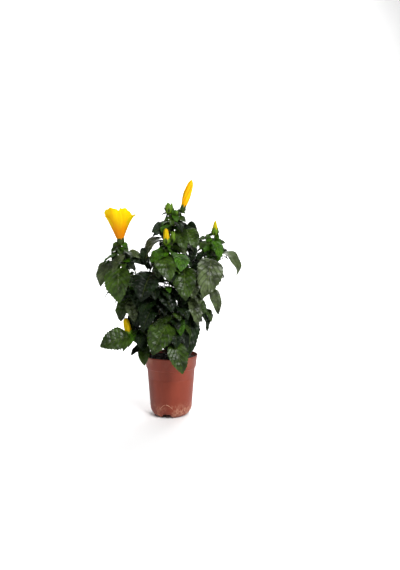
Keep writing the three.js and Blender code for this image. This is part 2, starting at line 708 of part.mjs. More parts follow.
function isClear(solid, exempt) {
  const box = solid.boundingBox();
  const near = standing.filter((other) => {
    const apart = [0, 1, 2].some((axis) => box.min[axis] - CLEARANCE > other.box.max[axis]
      || other.box.min[axis] - CLEARANCE > box.max[axis]);
    return !apart && !exempt(other);
  });
  return near.every((other) => solid.minGap(other.solid, NEAR) > CLEARANCE);
}

// Whether a leaf keeps to its shoot's space and leaves the open places open.
function keepsToSpace(shoot, leaf) {
  const frame = bladeFrame(leaf);
  const rings = SPACE_RINGS.map((share) => bladeRing(leaf, frame, share));
  const points = rings.flatMap((ring) => [-1, 0, 1].map((across) => ringPoint(ring, across, 0)));
  return points.every((point) => isInside(shoot, point) && !isInOpenPlace(point));
}

function isInside(shoot, point) {
  const off = point.clone().sub(vector(shoot.middle)).divide(vector(shoot.half));
  return Math.abs(off.x) ** 3 + Math.abs(off.y) ** 3 + Math.abs(off.z) ** 3 <= 1;
}

function isInOpenPlace(point) {
  const [eyeX, eyeY, eyeZ] = VIEWPOINT;
  const share = -eyeY / (point.y - eyeY);
  const across = mix(eyeX, point.x, share);
  const height = mix(eyeZ, point.z, share);
  return OPEN_PLACES.some(([x, z, radius]) => Math.hypot(across - x, height - z) < radius);
}

// Numbers between two limits, in one seeded stream.
function drawsFrom(seed) {
  let state = seed * SEED_STEP;
  return (limits) => {
    state = (state * DRAW_FACTOR) % DRAW_RANGE;
    return mix(...limits, state / DRAW_RANGE);
  };
}

// The shoots grow in this order: stems, flowers, buds, twigs, placed leaves, leaves by the rule.

function growStems(boughs) {
  const shoots = {};
  for (const [name, row] of Object.entries(SHOOTS)) {
    const stem = stemLimb(boughs[row.bough], row.end);
    const solid = solidOf(tube(stem.path, stem.radiusAt, LIMB_SIDES, LIMB_STEPS));
    const draw = drawsFrom(row.seed);
    shoots[name] = { ...row, name, axes: [stem], parts: [solid], draw, phase: draw([0, 360]) };
    stand(name, "axis", solid);
  }
  return shoots;
}

function growFlowers(shoots) {
  const flowers = {
    open_flower: flowerSolid(shoots, OPEN_FLOWER, openCorolla(OPEN_FLOWER)),
    furled_flower: flowerSolid(shoots, FURLED_FLOWER, furledCorolla(FURLED_FLOWER)),
  };
  for (const [name, solid] of Object.entries(flowers)) {
    stand(name, "flower", solid);
    addNode(name, solid, MATERIALS.petal);
  }
}

function growBuds(shoots) {
  for (const [name, foot, tip, radius] of BUDS) {
    const shoot = shoots[name];
    const path = stalkPath(shoot.axes[0].path.getPoint(BUD_START), vector(foot));
    const stalk = solidOf(tube(path, () => TWIG_RADIUS, STALK_SIDES, 3));
    const bud = budSolid(foot, tip, radius);
    if (!isClear(bud, () => false) || !isClear(stalk, (other) => other.owner === name)) {
      throw new Error(`the bud at ${foot} touches its neighbour`);
    }
    shoot.parts.push(stalk, bud);
    stand(name, "bud", bud);
    stand(name, "bud", stalk);
  }
}

function growTwigs(shoot) {
  for (let i = 0; i < shoot.twigs; i += 1) {
    const from = shoot.axes[0].path.getPoint(mix(...TWIG_PLACES, (i + 0.5) / shoot.twigs));
    const way = direction(shoot.phase + TWIG_TURN + i * GOLDEN_ANGLE, shoot.draw(TWIG_PITCH));
    const twig = twigLimb(from, way, shoot.draw(TWIG_LENGTHS));
    const solid = solidOf(tube(twig.path, twig.radiusAt, STALK_SIDES, 2));
    if (isClear(solid, (other) => other.owner === shoot.name)) {
      shoot.parts.push(solid);
      shoot.axes.push(twig);
      stand(shoot.name, "axis", solid);
    }
  }
}

function growLeaf(shoot, leaf) {
  const { whole, blade } = leafSolids(leaf);
  const isOwn = (other) => other.owner === shoot.name;
  if (!isClear(whole, isOwn) || !isClear(blade, (other) => !isOwn(other))) {
    return false;
  }
  shoot.parts.push(whole);
  stand(shoot.name, "leaf", whole);
  return true;
}

function growPlacedLeaves(shoots) {
  for (const [name, foot, tip, compass, broad, bend = LEAF_BEND] of PLACED_LEAVES) {
    const face = direction(compass, PLACED_FACE_PITCH);
    const leaf = { foot: vector(foot), tip: vector(tip), face, broad, bend };
    leaf.root = nearestPoint(shoots[name].axes, leaf.foot);
    if (!growLeaf(shoots[name], leaf)) {
      throw new Error(`the leaf at ${foot} touches its neighbour`);
    }
  }
}

function growRuleLeaves(shoot, axis, count) {
  for (let i = 0; i < count; i += 1) {
    const share = mix(FIRST_LEAF, 1, (i + 0.6) / count);
    const compass = shoot.phase + i * GOLDEN_ANGLE + shoot.draw(COMPASS_PLAY);
    const young = mix(1, SMALLEST_LEAF, share ** 3);
    const stalk = shoot.draw(LEAF_STALKS) * young;
    const rise = shoot.draw(STALK_PITCH);
    const pitch = shoot.draw(BLADE_PITCH) * young;
    const length = shoot.size * young * shoot.draw(LENGTH_PLAY);
    const face = shoot.draw(FACE_PITCH);
    const broad = shoot.draw(LEAF_WIDTHS);
    const root = axis.path.getPoint(share);
    TURNS.some((turn, j) => {
      const way = compass + turn;
      const foot = root.clone().addScaledVector(direction(way, rise), stalk);
      const tip = foot.clone().addScaledVector(direction(way, pitch), length * (1 - SHRINK * j));
      const leaf = { root, foot, tip, face: direction(way, face), broad, bend: LEAF_BEND };
      return keepsToSpace(shoot, leaf) && growLeaf(shoot, leaf);
    });
  }
}

function addPot() {
  const pot = makePot();
  const soil = makeSoil();
  stand("pot", "pot", pot);
  stand("soil", "soil", soil);
  addNode("pot", pot, MATERIALS.pot);
  addNode("soil", soil, MATERIALS.soil);
}

// The trunk is cut flat at ground level.
function addTrunk() {
  const below = new THREE.CylinderGeometry(RIM_RADIUS, RIM_RADIUS, POT_HEIGHT, TRUNK_SIDES);
  below.rotateX(Math.PI / 2).translate(0, 0, GROUND - POT_HEIGHT / 2);
  const whole = solidOf(tube(trunk.path, trunk.radiusAt, TRUNK_SIDES, TRUNK_STEPS));
  const solid = whole.subtract(solidOf(below));
  stand("trunk", "limb", solid);
  addNode("trunk", solid, MATERIALS.bark);
}

// Each bough is cut back from the trunk and from the boughs before it.
function addBoughs() {
  const boughs = {};
  let kept = grownSolid(trunk, TRUNK_SIDES, TRUNK_STEPS);
  for (const [name, row] of Object.entries(BOUGHS)) {
    const limb = boughLimb(row);
    const whole = solidOf(tube(limb.path, limb.radiusAt, LIMB_SIDES, LIMB_STEPS));
    const cut = onePiece(whole.subtract(kept));
    kept = kept.add(grownSolid(limb, LIMB_SIDES, LIMB_STEPS));
    boughs[name] = limb;
    stand(name, "limb", cut);
    addNode(name, cut, MATERIALS.bark);
  }
  return boughs;
}

function addShoots(boughs) {
  const shoots = growStems(boughs);
  growFlowers(shoots);
  growBuds(shoots);
  Object.values(shoots).forEach(growTwigs);
  growPlacedLeaves(shoots);
  for (const shoot of Object.values(shoots)) {
    const [stem, ...twigs] = shoot.axes;
    growRuleLeaves(shoot, stem, shoot.leaves);
    twigs.forEach((twig) => growRuleLeaves(shoot, twig, TWIG_LEAVES));
    addNode(shoot.name, join(shoot.parts), MATERIALS.leaf);
  }
}

addPot();
addTrunk();
addShoots(addBoughs());

export default object;
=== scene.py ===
"""A hibiscus shrub in a round pot: pot, potting mix, woody limbs, leafy shoots, buds and blossom.

Lengths in the growth rule are in millimetres, and meshes are in metres, +Z up. Compass angles are
in degrees, 0 towards -Y and 90 towards +X.
"""

import math
from contextlib import contextmanager

import bpy
import numpy as np
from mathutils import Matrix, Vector, noise
from mathutils.bvhtree import BVHTree
from mathutils.kdtree import KDTree


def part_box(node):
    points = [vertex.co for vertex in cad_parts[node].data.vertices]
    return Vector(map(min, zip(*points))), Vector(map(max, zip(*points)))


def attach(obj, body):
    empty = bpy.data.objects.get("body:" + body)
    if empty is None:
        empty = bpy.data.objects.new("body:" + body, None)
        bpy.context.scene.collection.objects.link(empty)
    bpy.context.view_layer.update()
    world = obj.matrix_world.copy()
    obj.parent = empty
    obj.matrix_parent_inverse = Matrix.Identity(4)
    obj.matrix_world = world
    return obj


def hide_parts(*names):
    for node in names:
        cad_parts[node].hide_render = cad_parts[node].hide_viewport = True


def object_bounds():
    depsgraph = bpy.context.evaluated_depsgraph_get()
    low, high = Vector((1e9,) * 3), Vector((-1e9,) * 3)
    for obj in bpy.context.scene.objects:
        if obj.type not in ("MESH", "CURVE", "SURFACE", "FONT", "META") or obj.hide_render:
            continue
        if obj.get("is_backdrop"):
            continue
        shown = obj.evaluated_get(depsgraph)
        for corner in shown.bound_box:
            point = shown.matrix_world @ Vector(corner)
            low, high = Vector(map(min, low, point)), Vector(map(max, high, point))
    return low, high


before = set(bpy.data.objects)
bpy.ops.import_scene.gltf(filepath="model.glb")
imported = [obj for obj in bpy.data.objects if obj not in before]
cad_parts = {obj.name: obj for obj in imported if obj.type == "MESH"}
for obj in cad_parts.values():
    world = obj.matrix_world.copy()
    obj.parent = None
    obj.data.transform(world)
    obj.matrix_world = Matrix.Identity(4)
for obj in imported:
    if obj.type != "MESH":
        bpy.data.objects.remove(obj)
CAD_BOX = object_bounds()

bl_info = {
    "name": "Potted hibiscus",
    "version": (1, 0, 0),
    "blender": (4, 5, 0),
    "location": "View3D > Sidebar > Shrub",
    "description": "Grows a hibiscus shrub in its pot around the packed model",
    "category": "Object",
}

MM = 0.001
GOLDEN_ANGLE = 137.5
ANTHER_SEED, CRUMB_SEED, LEAF_SEED = 61, 83, 97
# Half of a copy's cell in the second map, and the margin round it
CELL_SIZE, CELL_MARGIN = (0.46, 0.94), (0.02, 0.03)

# Pot
POT_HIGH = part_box("pot")[1]
RIM_FOOT_RADIUS = 61.5
RIM_DEPTH = 31
BODY_TOP_RADIUS = 59.5
BODY_FOOT_RADIUS = 52
FOOT_RADIUS = 34
FOOT_RING_WIDTH = 3
FOOT_ROUND_HEIGHT, FOOT_ROUND_STEPS = 24, 8
LIP_WIDTH = 2.2
FLOOR_HEIGHT = 16
STACKING_LINE = 94
# Steps out and up of the stacking line, of the band's lower edge, and of the rim from its corner
LINE_STEPS = ((-0.05, -0.8), (-0.5, 0), (0.05, 0.8))
BAND_STEPS = ((-0.2, 0), (0.7, 2.2))
RIM_STEPS = (
    (-1.3, -5.2), (-0.5, -4.4), (0, -1.2), (-0.5, 0), (0.5 - LIP_WIDTH, 0), (-LIP_WIDTH, -1.2),
)
NOTCH_ANGLES = (-13, 77, 167, 257)
NOTCH_FOOT_WIDTH = 31
NOTCH_TOP_WIDTH = 16
NOTCH_HEIGHT = 12
NOTCH_BELOW = 3
NOTCH_DEPTH = 30
NOTCH_PLACE = FOOT_RADIUS + 8
NOTCH_ROUND, SHELL_ROUND = 2.2, 0.5
DRAIN_ANGLES = (32, 122, 212, 302)
DRAIN_RADIUS = 5
DRAIN_PLACE = 30
DRAIN_DEPTH = 8
RUBBED_ARC_HEIGHT = 36
RUBBED_ARC_CURVE = 0.045

# Potting mix
SOIL_EDGE_HEIGHT = 140
SOIL_MIDDLE_HEIGHT = 143
SOIL_SIDES = 128
SOIL_LUMP = 1.3
SOIL_MOUND, SOIL_MOUND_RADIUS = 1.6, 13
SOIL_DETAIL, SOIL_DIP = 160, -1.2
CRUMB_KINDS = 5
CRUMB_SIZES = (0.5, 2.6)
CRUMB_RELIEF, CRUMB_DETAIL = 0.55, 1.3
CRUMB_WIDTHS, CRUMB_HEIGHTS = (0.55, 1), (0.4, 0.7)
CRUMB_LIFT, CRUMB_MARGIN = 0.3, 3
GROUND = SOIL_MIDDLE_HEIGHT + 0.3

# Trunk and boughs, as the solids have them
TRUNK_PATH = ((0, 0, GROUND - 3), (-3, 2, 170), (3, 2, 194))
TRUNK_FOOT_RADIUS = 6.6
TRUNK_TOP_RADIUS = 4.8
FLARE_RADIUS = 4.4
FLARE_LOBES = 4
FLARE_RIDGE = 0.35
FLARE_FADE = 7
BOUGH_REACH = 0.6
BOUGH_RISE = 0.4
BOUGH_TIP_RADIUS = 2
STEM_TIP_RADIUS = 1.4
STEM_FOLLOW = 0.45
STEM_RADII = (2.0, STEM_TIP_RADIUS)
TWIG_RADIUS = 1.2
TWIG_RADII = (TWIG_RADIUS, 0.9)
FINE_TWIG_RADII = (1.1, 0.8)
STALK_RADII = ((0.45, 1), (0.4, 0.8))
STALK_ARCH = 0.14
BUD_START = 0.86
CLEARANCE = 0.3
STEM_OVERLAP = 2
CRACK_SCALE, CRACK_STRETCH, KNOT_SCALE = 420, 0.22, 90

# Each bough: how far up the trunk it starts, the place of its tip, and its radius at the trunk.
BOUGHS = {
    "bough_left": (0.62, (-92, -12, 300), 3.6),
    "bough_middle": (1, (3, 12, 372), 4.2),
    "bough_front": (0.78, (-4, -32, 318), 3.4),
    "bough_right": (0.8, (78, 0, 322), 3.6),
    "bough_left_side": (0.36, (-60, -34, 252), 3),
    "bough_front_side": (0.5, (-26, -40, 252), 3),
    "bough_right_side": (0.48, (46, -28, 256), 3),
    "bough_low_left": (0.16, (-46, -26, 180), 2.8),
    "bough_low_front": (0.2, (6, -38, 192), 2.8),
    "bough_low_right": (0.22, (42, 2, 198), 2.8),
    "bough_back": (0.86, (-4, 50, 330), 3.4),
    "bough_back_left": (0.5, (-60, 46, 262), 3.2),
    "bough_back_right": (0.6, (60, 48, 262), 3.2),
    "bough_low_back": (0.3, (4, 42, 196), 2.8),
}

# Each leafy shoot: its bough, where its stem ends, how many leaves the stem has, the length of
# the lowest, the seed, and the middle and half size of the space that the shoot keeps to.
SHOOTS = {
    "foliage_left_top": ("bough_left", (-119, -20, 404), 8, 70, 3, (-124, -2, 340), (50, 62, 74)),
    "foliage_top": ("bough_middle", (9, 13, 476), 8, 70, 5, (10, 20, 436), (62, 58, 66)),
    "foliage_front_top": ("bough_front", (-8, -58, 408), 8, 64, 7, (-4, -64, 372), (56, 60, 62)),
    "foliage_right_top": ("bough_right", (108, 8, 430), 8, 70, 11, (96, 10, 385), (54, 64, 62)),
    "foliage_left_middle": ("bough_left_side", (-92, -34, 334), 9, 72, 13, (-88, -26, 286), (46, 64, 70)),
    "foliage_front_middle": ("bough_front_side", (-38, -50, 346), 8, 74, 17, (-32, -62, 288), (54, 62, 78)),
    "foliage_right_middle": ("bough_right_side", (62, -40, 356), 8, 76, 19, (56, -42, 304), (50, 70, 80)),
    "foliage_left_low": ("bough_low_left", (-90, -44, 206), 6, 66, 23, (-72, -34, 204), (52, 56, 50)),
    "foliage_front_low": ("bough_low_front", (8, -58, 256), 7, 72, 29, (-2, -66, 222), (62, 54, 66)),
    "foliage_right_low": ("bough_low_right", (62, -2, 268), 7, 72, 31, (44, -4, 224), (40, 70, 66)),
    "foliage_back_top": ("bough_back", (-8, 62, 430), 10, 74, 37, (0, 68, 396), (66, 60, 74)),
    "foliage_back_left": ("bough_back_left", (-92, 56, 356), 11, 78, 41, (-80, 62, 300), (66, 64, 84)),
    "foliage_back_right": ("bough_back_right", (86, 60, 366), 11, 78, 43, (76, 62, 312), (66, 64, 86)),
    "foliage_back_low": ("bough_low_back", (10, 68, 256), 8, 74, 47, (2, 68, 222), (76, 62, 70)),
}

# Leaves that make the outline and the front, by shoot: the blade's foot and tip, the compass angle
# that its face looks to, its width as a share of its length, its tint, and its bend where that is
# its own.
# The grey tint in these rows stands in, as painted sheen, for the pale gloss that some of the leaves show.
PLACED_LEAVES = (
    ("foliage_left_top", (
        ((-142, -15, 381), (-167, -35, 320), -30, 0.66, "grey"),
        ((-121, -50, 365), (-117, -84, 286), -15, 0.72, "mid"),
        ((-110, -42, 396), (-134, -62, 352), -40, 0.6, "grey"),
        ((-103, -6, 404), (-70, -14, 387), 20, 0.55, "grey"),
        ((-99, -6, 392), (-64, -12, 371), 15, 0.56, "deep"),
    )),
    ("foliage_top", (
        ((18, -12, 457), (37, -46, 408), -25, 0.64, "mid"),
        ((36, -4, 458), (62, -34, 412), 8, 0.72, "mid"),
        ((40, 26, 470), (66, 8, 455), -20, 0.85, "deep"),
        ((-14, 12, 463), (-46, -22, 450), 30, 0.76, "deep"),
        ((-20, 0, 438), (-60, -16, 374), -50, 0.52, "grey", 100),
    )),
    ("foliage_front_top", (
        ((-9, -66, 402), (-46, -98, 378), -25, 0.66, "bright"),
        ((-18, -82, 391), (-2, -118, 336), 5, 0.72, "mid"),
        ((19, -72, 398), (22, -106, 358), 25, 0.8, "bright"),
    )),
    ("foliage_right_top", (
        ((127, 0, 402), (162, -6, 343), 45, 0.6, "grey", 118),
        ((96, -50, 386), (73, -92, 297), 15, 0.62, "grey"),
        ((106, -8, 430), (117, -34, 384), 25, 0.55, "bright"),
        ((100, -14, 314), (115, -30, 250), 10, 0.42, "grey", 60),
    )),
    ("foliage_left_middle", (
        ((-88, -42, 340), (-117, -60, 287), 10, 0.66, "deep"),
        ((-108, -34, 290), (-118, -50, 238), -30, 0.6, "mid"),
        ((-94, -50, 294), (-84, -72, 240), -5, 0.52, "grey"),
    )),
    ("foliage_front_middle", (
        ((-44, -66, 356), (-67, -106, 290), -10, 0.78, "deep"),
        ((-38, -62, 280), (-66, -88, 218), -15, 0.56, "deep"),
    )),
    ("foliage_right_middle", (
        ((31, -66, 365), (34, -106, 292), -8, 0.66, "mid"),
        ((46, -56, 296), (62, -74, 230), 25, 0.5, "grey"),
        ((44, -42, 256), (38, -74, 154), 20, 0.42, "deep"),
    )),
    ("foliage_left_low", (
        ((-98, -62, 204), (-162, -88, 186), -12, 0.8, "mid"),
        ((-94, -30, 202), (-114, -40, 164), -30, 0.5, "mid"),
        ((-68, -34, 178), (-96, -46, 156), -30, 0.5, "deep"),
        ((-62, -48, 180), (-62, -76, 138), -10, 0.6, "mid"),
    )),
    ("foliage_front_low", (
        ((-7, -84, 237), (-41, -120, 172), -12, 0.78, "mid"),
        ((7, -78, 190), (26, -104, 124), 8, 0.62, "mid"),
        ((16, -72, 250), (23, -92, 210), 10, 0.6, "bright"),
    )),
    ("foliage_right_low", (
        ((68, -14, 270), (88, -22, 206), 60, 0.4, "deep"),
        ((68, -24, 289), (80, -40, 254), 30, 0.5, "mid"),
        ((87, -8, 264), (98, -26, 231), 30, 0.5, "mid"),
    )),
)

# Young leaves crowded under the flowers and buds, and a few that fill the back, in the same form.
YOUNG_LEAVES = (
    ("foliage_top", (
        ((0, 4, 488), (-16, -2, 479), -30, 0.7, "mid"),
        ((1, 6, 498), (-12, 0, 489), -30, 0.6, "mid"),
        ((20, 8, 489), (37, 0, 476), 25, 0.85, "mid"),
        ((8, 4, 497), (16, -6, 476), 10, 0.7, "bright"),
        ((13, 8, 506), (19, 0, 492), 10, 0.6, "mid"),
        ((-1, 4, 477), (-8, -4, 458), -15, 0.75, "mid"),
        ((13, 0, 474), (27, -6, 456), 15, 0.6, "grey"),
        ((5, 0, 485), (1, -8, 466), -5, 0.65, "mid"),
        ((26, 16, 503), (38, 10, 497), 20, 0.5, "mid"),
    )),
    ("foliage_right_top", (
        ((107, 4, 434), (124, -6, 420), 20, 0.8, "bright"),
        ((102, 4, 438), (86, -4, 428), -10, 0.8, "bright"),
        ((97, 2, 428), (80, -8, 415), -10, 0.75, "mid"),
        ((92, 0, 418), (76, -10, 403), -10, 0.75, "mid"),
        ((102, 0, 426), (101, -8, 408), 5, 0.7, "bright"),
        ((98, 6, 443), (84, -2, 437), -10, 0.8, "mid"),
        ((112, 0, 418), (125, -8, 399), 20, 0.7, "bright"),
        ((80, 4, 431), (65, -4, 419), -10, 0.75, "mid"),
        ((87, -2, 409), (93, -12, 388), 5, 0.7, "bright"),
        ((57, -4, 418), (49, -16, 379), 5, 0.55, "deep"),
    )),
    ("foliage_left_top", (
        ((-123, -20, 416), (-142, -27, 401), -35, 0.7, "mid"),
        ((-117, -20, 415), (-101, -29, 402), 30, 0.8, "mid"),
        ((-119, -22, 412), (-118, -33, 392), 0, 0.75, "mid"),
        ((-127, -20, 403), (-140, -28, 382), -25, 0.7, "mid"),
        ((-111, -20, 403), (-95, -28, 388), 30, 0.7, "mid"),
        ((-104, -14, 378), (-85, -22, 357), 25, 0.6, "deep"),
        ((-124, -22, 424), (-138, -29, 411), -20, 0.8, "mid"),
        ((-72, -8, 391), (-55, -12, 357), 20, 0.24, "mid"),
        ((-116, -22, 424), (-103, -29, 411), 20, 0.8, "bright"),
    )),
    ("foliage_left_low", (
        ((-87, -46, 251), (-78, -52, 214), 15, 0.4, "deep"),
        ((-88, -34, 262), (-97, -37, 209), 20, 0.55, "deep"),
    )),
    ("foliage_top", (
        ((7, 4, 494), (7, 3, 511), 5, 0.5, "bright"),
        ((16, 6, 490), (20, 5, 509), 10, 0.5, "mid"),
        ((-16, -8, 454), (-45, -16, 439), -30, 0.5, "deep"),
        ((-69, -14, 414), (-49, -14, 359), -20, 0.32, "deep"),
    )),
    ("foliage_right_top", (
        ((87, 2, 438), (70, -4, 435), -10, 0.7, "mid"),
        ((84, -4, 428), (72, -10, 408), -20, 0.7, "mid"),
        ((92, -8, 420), (84, -14, 398), -5, 0.75, "bright"),
        ((102, -6, 425), (104, -12, 403), 10, 0.75, "bright"),
    )),
    ("foliage_left_low", (
        ((-94, -54, 214), (-82, -66, 190), 15, 0.6, "bright"),
        ((-96, -58, 208), (-95, -72, 187), 0, 0.6, "bright"),
    )),
    ("foliage_front_low", (((-12, 4, 192), (-8, -6, 156), 0, 0.9, "deep"),)),
    ("foliage_back_top", (((-12, 60, 312), (-16, 84, 256), 180, 0.66, "mid"),)),
    ("foliage_back_left", (((-42, 58, 318), (-46, 84, 266), 190, 0.6, "deep"),)),
    ("foliage_back_top", (((-30, 62, 300), (-34, 86, 246), 175, 0.6, "mid"),)),
)

# Buds: shoot, the foot and tip of the bud, its radius, and how much of it is petal.
BUDS = (
    ("foliage_top", (-4, 10, 498), (-4, 11, 526), 9.4, 0),
    ("foliage_top", (14, 3, 490), (13, 2, 508), 4, 0),
    ("foliage_front_top", (-9, -62, 418), (-11, -61, 457), 8, 0.75),
    ("foliage_front_top", (6, -54, 424), (5, -52, 452), 4.6, 0),
    ("foliage_right_top", (110, 8, 444), (111, 8, 482), 8, 0.6),
    ("foliage_left_low", (-99, -50, 206), (-107, -54, 248), 10, 0.9),
)

# The camera's place, and the places that stay open as seen from there: x and z in the plane
# y = 0, and the radius.
VIEWPOINT = np.array((0, -1150, 388), float)
OPEN_PLACES = (
    (-79, 352, 17), (-93, 452, 34), (-26, 320, 8), (135, 300, 34), (92, 466, 14), (-148, 284, 9),
    (-108, 224, 14), (110, 196, 42), (97, 229, 18), (102, 276, 10), (87, 277, 7),
    (77, 166, 20), (132, 374, 13), (-46, 408, 12),
)

# Ends of shoots where no large leaf of the finer growth hides the young ones, in the same form.
YOUNG_PLACES = ((99, 420, 28), (-122, 404, 20), (6, 480, 20), (-98, 202, 16))
LARGEST_YOUNG = 26

# Places in the shade of the crown, in the same form: what grows there by rule gets the deep green, as
# painted shade that darkens the inside of the crown.
SHADED_PLACES = ((-15, 285, 26), (-62, 250, 22), (12, 220, 18), (-98, 300, 14))

# Leaf rule
LEAF_FOLD = 0.22
LEAF_BEND = 50
LEAF_WIDTHS = (0.6, 0.74)
FOOT_POWER = 0.55
TIP_POWER = 0.95
SMALLEST_LEAF = 0.36
FIRST_LEAF = 0.06
ROOT_PLACES = 16
STALK_LIFT, YOUNG_STALK_LIFT = 8, 1
PLACED_FACE_PITCH = 25
COMPASS_PLAY = (-14, 14)
LENGTH_PLAY = (0.86, 1.08)
LEAF_STALKS = (18, 36)
STALK_PITCH = (22, 48)
BLADE_PITCH = (-72, -34)
FACE_PITCH = (20, 50)
TURNS = (0, 30, -30, 60, -60, 95, -95, 140)
SHRINK = 0.05
STEP_PLACE = 0.6
YOUNG_FROM = 0.72
YOUNG_BRIGHT = 0.55
OLD_DEEP, OLD_MID = 0.56, 0.84
TWIG_SHARE = 0.5
TWIG_TURN = 75
TWIG_LENGTHS = (26, 42)
TWIG_PITCH = (15, 40)
TWIG_LEAVES = 3
SAME_PLACE = 0.4 * MM

# Finer growth that the solids leave out
FINE_SEED = 200
FINE_TWIGS = 7
FINE_TWIG_LENGTHS = (26, 50)
FINE_TWIG_PITCH = (-5, 50)
FINE_TWIG_SHARES = (0.08, 0.86)
FINE_TWIG_TAPER = 0.6
FINE_TWIG_LEAVES = 5
FINE_STEM_LEAVES = 12
FINE_STEM_TURN, FINE_TWIG_TURN = 68, 190
# On stems and on finer twigs: where the finer leaves start, and factors of their size and youth
FINE_STEM_GROWTH, FINE_TWIG_GROWTH = (0.1, 0.92, 1), (0.3, 0.8, 0.8)

# Small young leaves round the end of each stem, and smaller ones up the stalks of buds and
# flowers: their number, from where to where they grow, and the lengths of stalk and leaf.
TUFT = (22, (0.72, 0.995), (5, 14), (18, 31))
COLLAR = (12, (0.2, 0.95), (2, 7), (14, 24))
COLLAR_TURN = 80
SMALL_LEAF_RISE, SMALL_LEAF_PITCH = (5, 60), (-74, -5)
SMALL_LEAF_WIDTHS = (0.6, 0.8)
SMALL_LEAF_FACE, SMALL_LEAF_ROLL = 30, (-55, 55)
SMALL_LEAF_BEND = 60
SMALL_BRIGHT_SHARE = 0.35

# Blades and stalks
VEINS, VEIN_SLANT = 6.0, 0.4
VEIN_PALENESS = 0.45
LEAF_THICKNESS = 0.5
TOOTH_LEAN = 0.12
# Heights of the quilting, the margin's waves and the twist, as shares of a blade's length
QUILTING, WAVING, TWISTING = 0.06, 0.035, 0.14
# Columns and rows of faces of a large blade, a small one and a scale
LARGE_GRID, SMALL_GRID, SCALE_GRID = (6, 24), (4, 14), (4, 8)
LARGE_LEAF, FULL_LEAF = 34, 70
# How a blade may differ: waves of its margin, their start, its twist, its quilting and its width
LEAF_LOTS = ((1.6, 3.2), (0, 1), (-0.8, 0.8), (0.5, 1.5), (0.97, 1.03))
PLAIN_LOT = (1.0, 0.0, 0.0, 0.0, 1.0)
# Each tint's roughness before its mottling, and its specular level
LEAF_GLOSS = {"deep": (0.34, 0.18), "mid": (0.28, 0.28), "bright": (0.36, 0.14), "grey": (0.24, 0.26)}

# Flowers
PETALS = 5
OPEN_FOOT, OPEN_TIP = (-120, -20, 418), (-121, -21, 507)
COROLLA_LENGTH = 72
COROLLA_RADIUS = 35
COROLLA_TUBE_RADIUS = 7
COROLLA_FLARE = 1.02
COROLLA_LEAN = 0.14
COROLLA_SIDE = 6
FURLED_FOOT, FURLED_TIP = (27, 20, 501), (53, 20, 583)
FURLED_RADIUS, FURLED_SWELL = 8.6, 1.14
FURLED_TWIST, FURLED_DEPTH = 100, 0.2
CALYX_LENGTH = 22
CALYX_HOLD = 0.6
CALYX_LOBE = 0.4
OPEN_CALYX, FURLED_CALYX = 8.4, 6.4
FLOWER_SCALE = 15

# Each petal of the open flower: its compass angle, how far it leans out, how low it hangs, and
# how much lower still at its later edge.
PETAL_ROWS = (
    (-35, 1, 1, -5), (38, -1.5, 4, 14), (100, 3, 13, 0), (192, -2, 6, 0), (264, -4, 16, 0),
)
PETAL_GRID = (16, 26)
PETAL_THICKNESS = 0.45
PETAL_LOT = 0.37

# Column of the open flower: radius and height up it, then its pads and its anthers
COLUMN_SIDES = 12
COLUMN_PROFILE = ((2.4, 8), (2.0, 30), (1.7, 50), (1.4, 66), (1.1, 80), (0.9, 86))
STYLE_HEIGHTS, STYLE_REACH, STYLE_ARCH = (85.5, 90.5), 3.2, 0.8
STYLE_RADII = (0.5, 0.45)
PAD_RADIUS, PAD_FLATNESS = 1.15, 0.75
ANTHERS = 54
ANTHER_HEIGHTS = (44, 82)
ANTHER_REACH, ANTHER_RISE = (2.4, 4.6), 18
ANTHER_SHAPE, ANTHER_SIZES = (0.9, 0.9, 0.65), (0.75, 1.1)
THREAD_START = 1.4
THREAD_RADII = (0.22, 0.18)

# Buds, calyxes and scales
BUD_COVER = (0.98, 0.24)
BUD_LOBE = 0.34
BUD_SCALE = 10
# A bud's petals, and the closed end of one that shows none: radius and length as shares of the
# bud's, twist and depth of the folds
BUD_CORE, BUD_PLUG = (0.86, 1, 80, 0.1), (0.8, 0.96, 40, 0.06)
CUP_THICKNESS = 0.6
FOLD_SIDES = 8
SCALES = 7
SCALE_TURN = 50
SCALE_FOOT, SCALE_LIFT = 0.35, 0.5
SCALE_SPREAD, SCALE_RISE, SCALE_PLAY = 0.62, 0.72, 0.2
SCALE_BROAD, SCALE_BEND = 0.26, -70

# Studio, in metres and watts: each lamp's place, size and power, and the place that it points to
SWEEP_SIZE, SWEEP_HEIGHT, SWEEP_ROUND = 8, 6, 1.5
AIR_STRENGTH = 0.06
FRAME_WIDTH = 36
PLANT_MIDDLE = (0, 0, 0.3)
LIGHTS = {
    "key": ((0.9, -1.3, 1.5), 1.0, 54, PLANT_MIDDLE),
    "fill": ((-1.6, -1.2, 0.8), 1.0, 8, PLANT_MIDDLE),
    "back": ((0.5, 1.1, 1.5), 1.0, 14, PLANT_MIDDLE),
    "wall": ((0, 1.6, 2.6), 3.0, 215, (0, 4, 0.6)),
}


def mix(low, high, share):
    return low + (high - low) * share


def unit(vector):
    vector = np.asarray(vector, float)
    return vector / np.sqrt(vector @ vector)


def direction(compass, pitch):
    turn, rise = math.radians(compass), math.radians(pitch)
    flat = math.cos(rise)
    return np.array((math.sin(turn) * flat, -math.cos(turn) * flat, math.sin(rise)))


# Curves of the growth rule: each path is (from, bend, to)


def path_point(path, share):
    start, bend, end = np.asarray(path, float)
    back = 1 - share
    return back * back * start + 2 * back * share * bend + share * share * end


def path_way(path, share):
    start, bend, end = np.asarray(path, float)
    return unit((1 - share) * (bend - start) + share * (end - bend))


def stalk_path(start, end):
    start, end = np.asarray(start, float), np.asarray(end, float)
    bend = (start + end) / 2
    bend[2] += STALK_ARCH * math.dist(start, end)
    return start, bend, end


def bough_path(start, tip):
    start = path_point(TRUNK_PATH, start)
    tip = np.asarray(tip, float)
    bend = mix(start, tip, BOUGH_REACH)
    bend[2] = mix(start[2], tip[2], BOUGH_RISE)
    return start, bend, tip


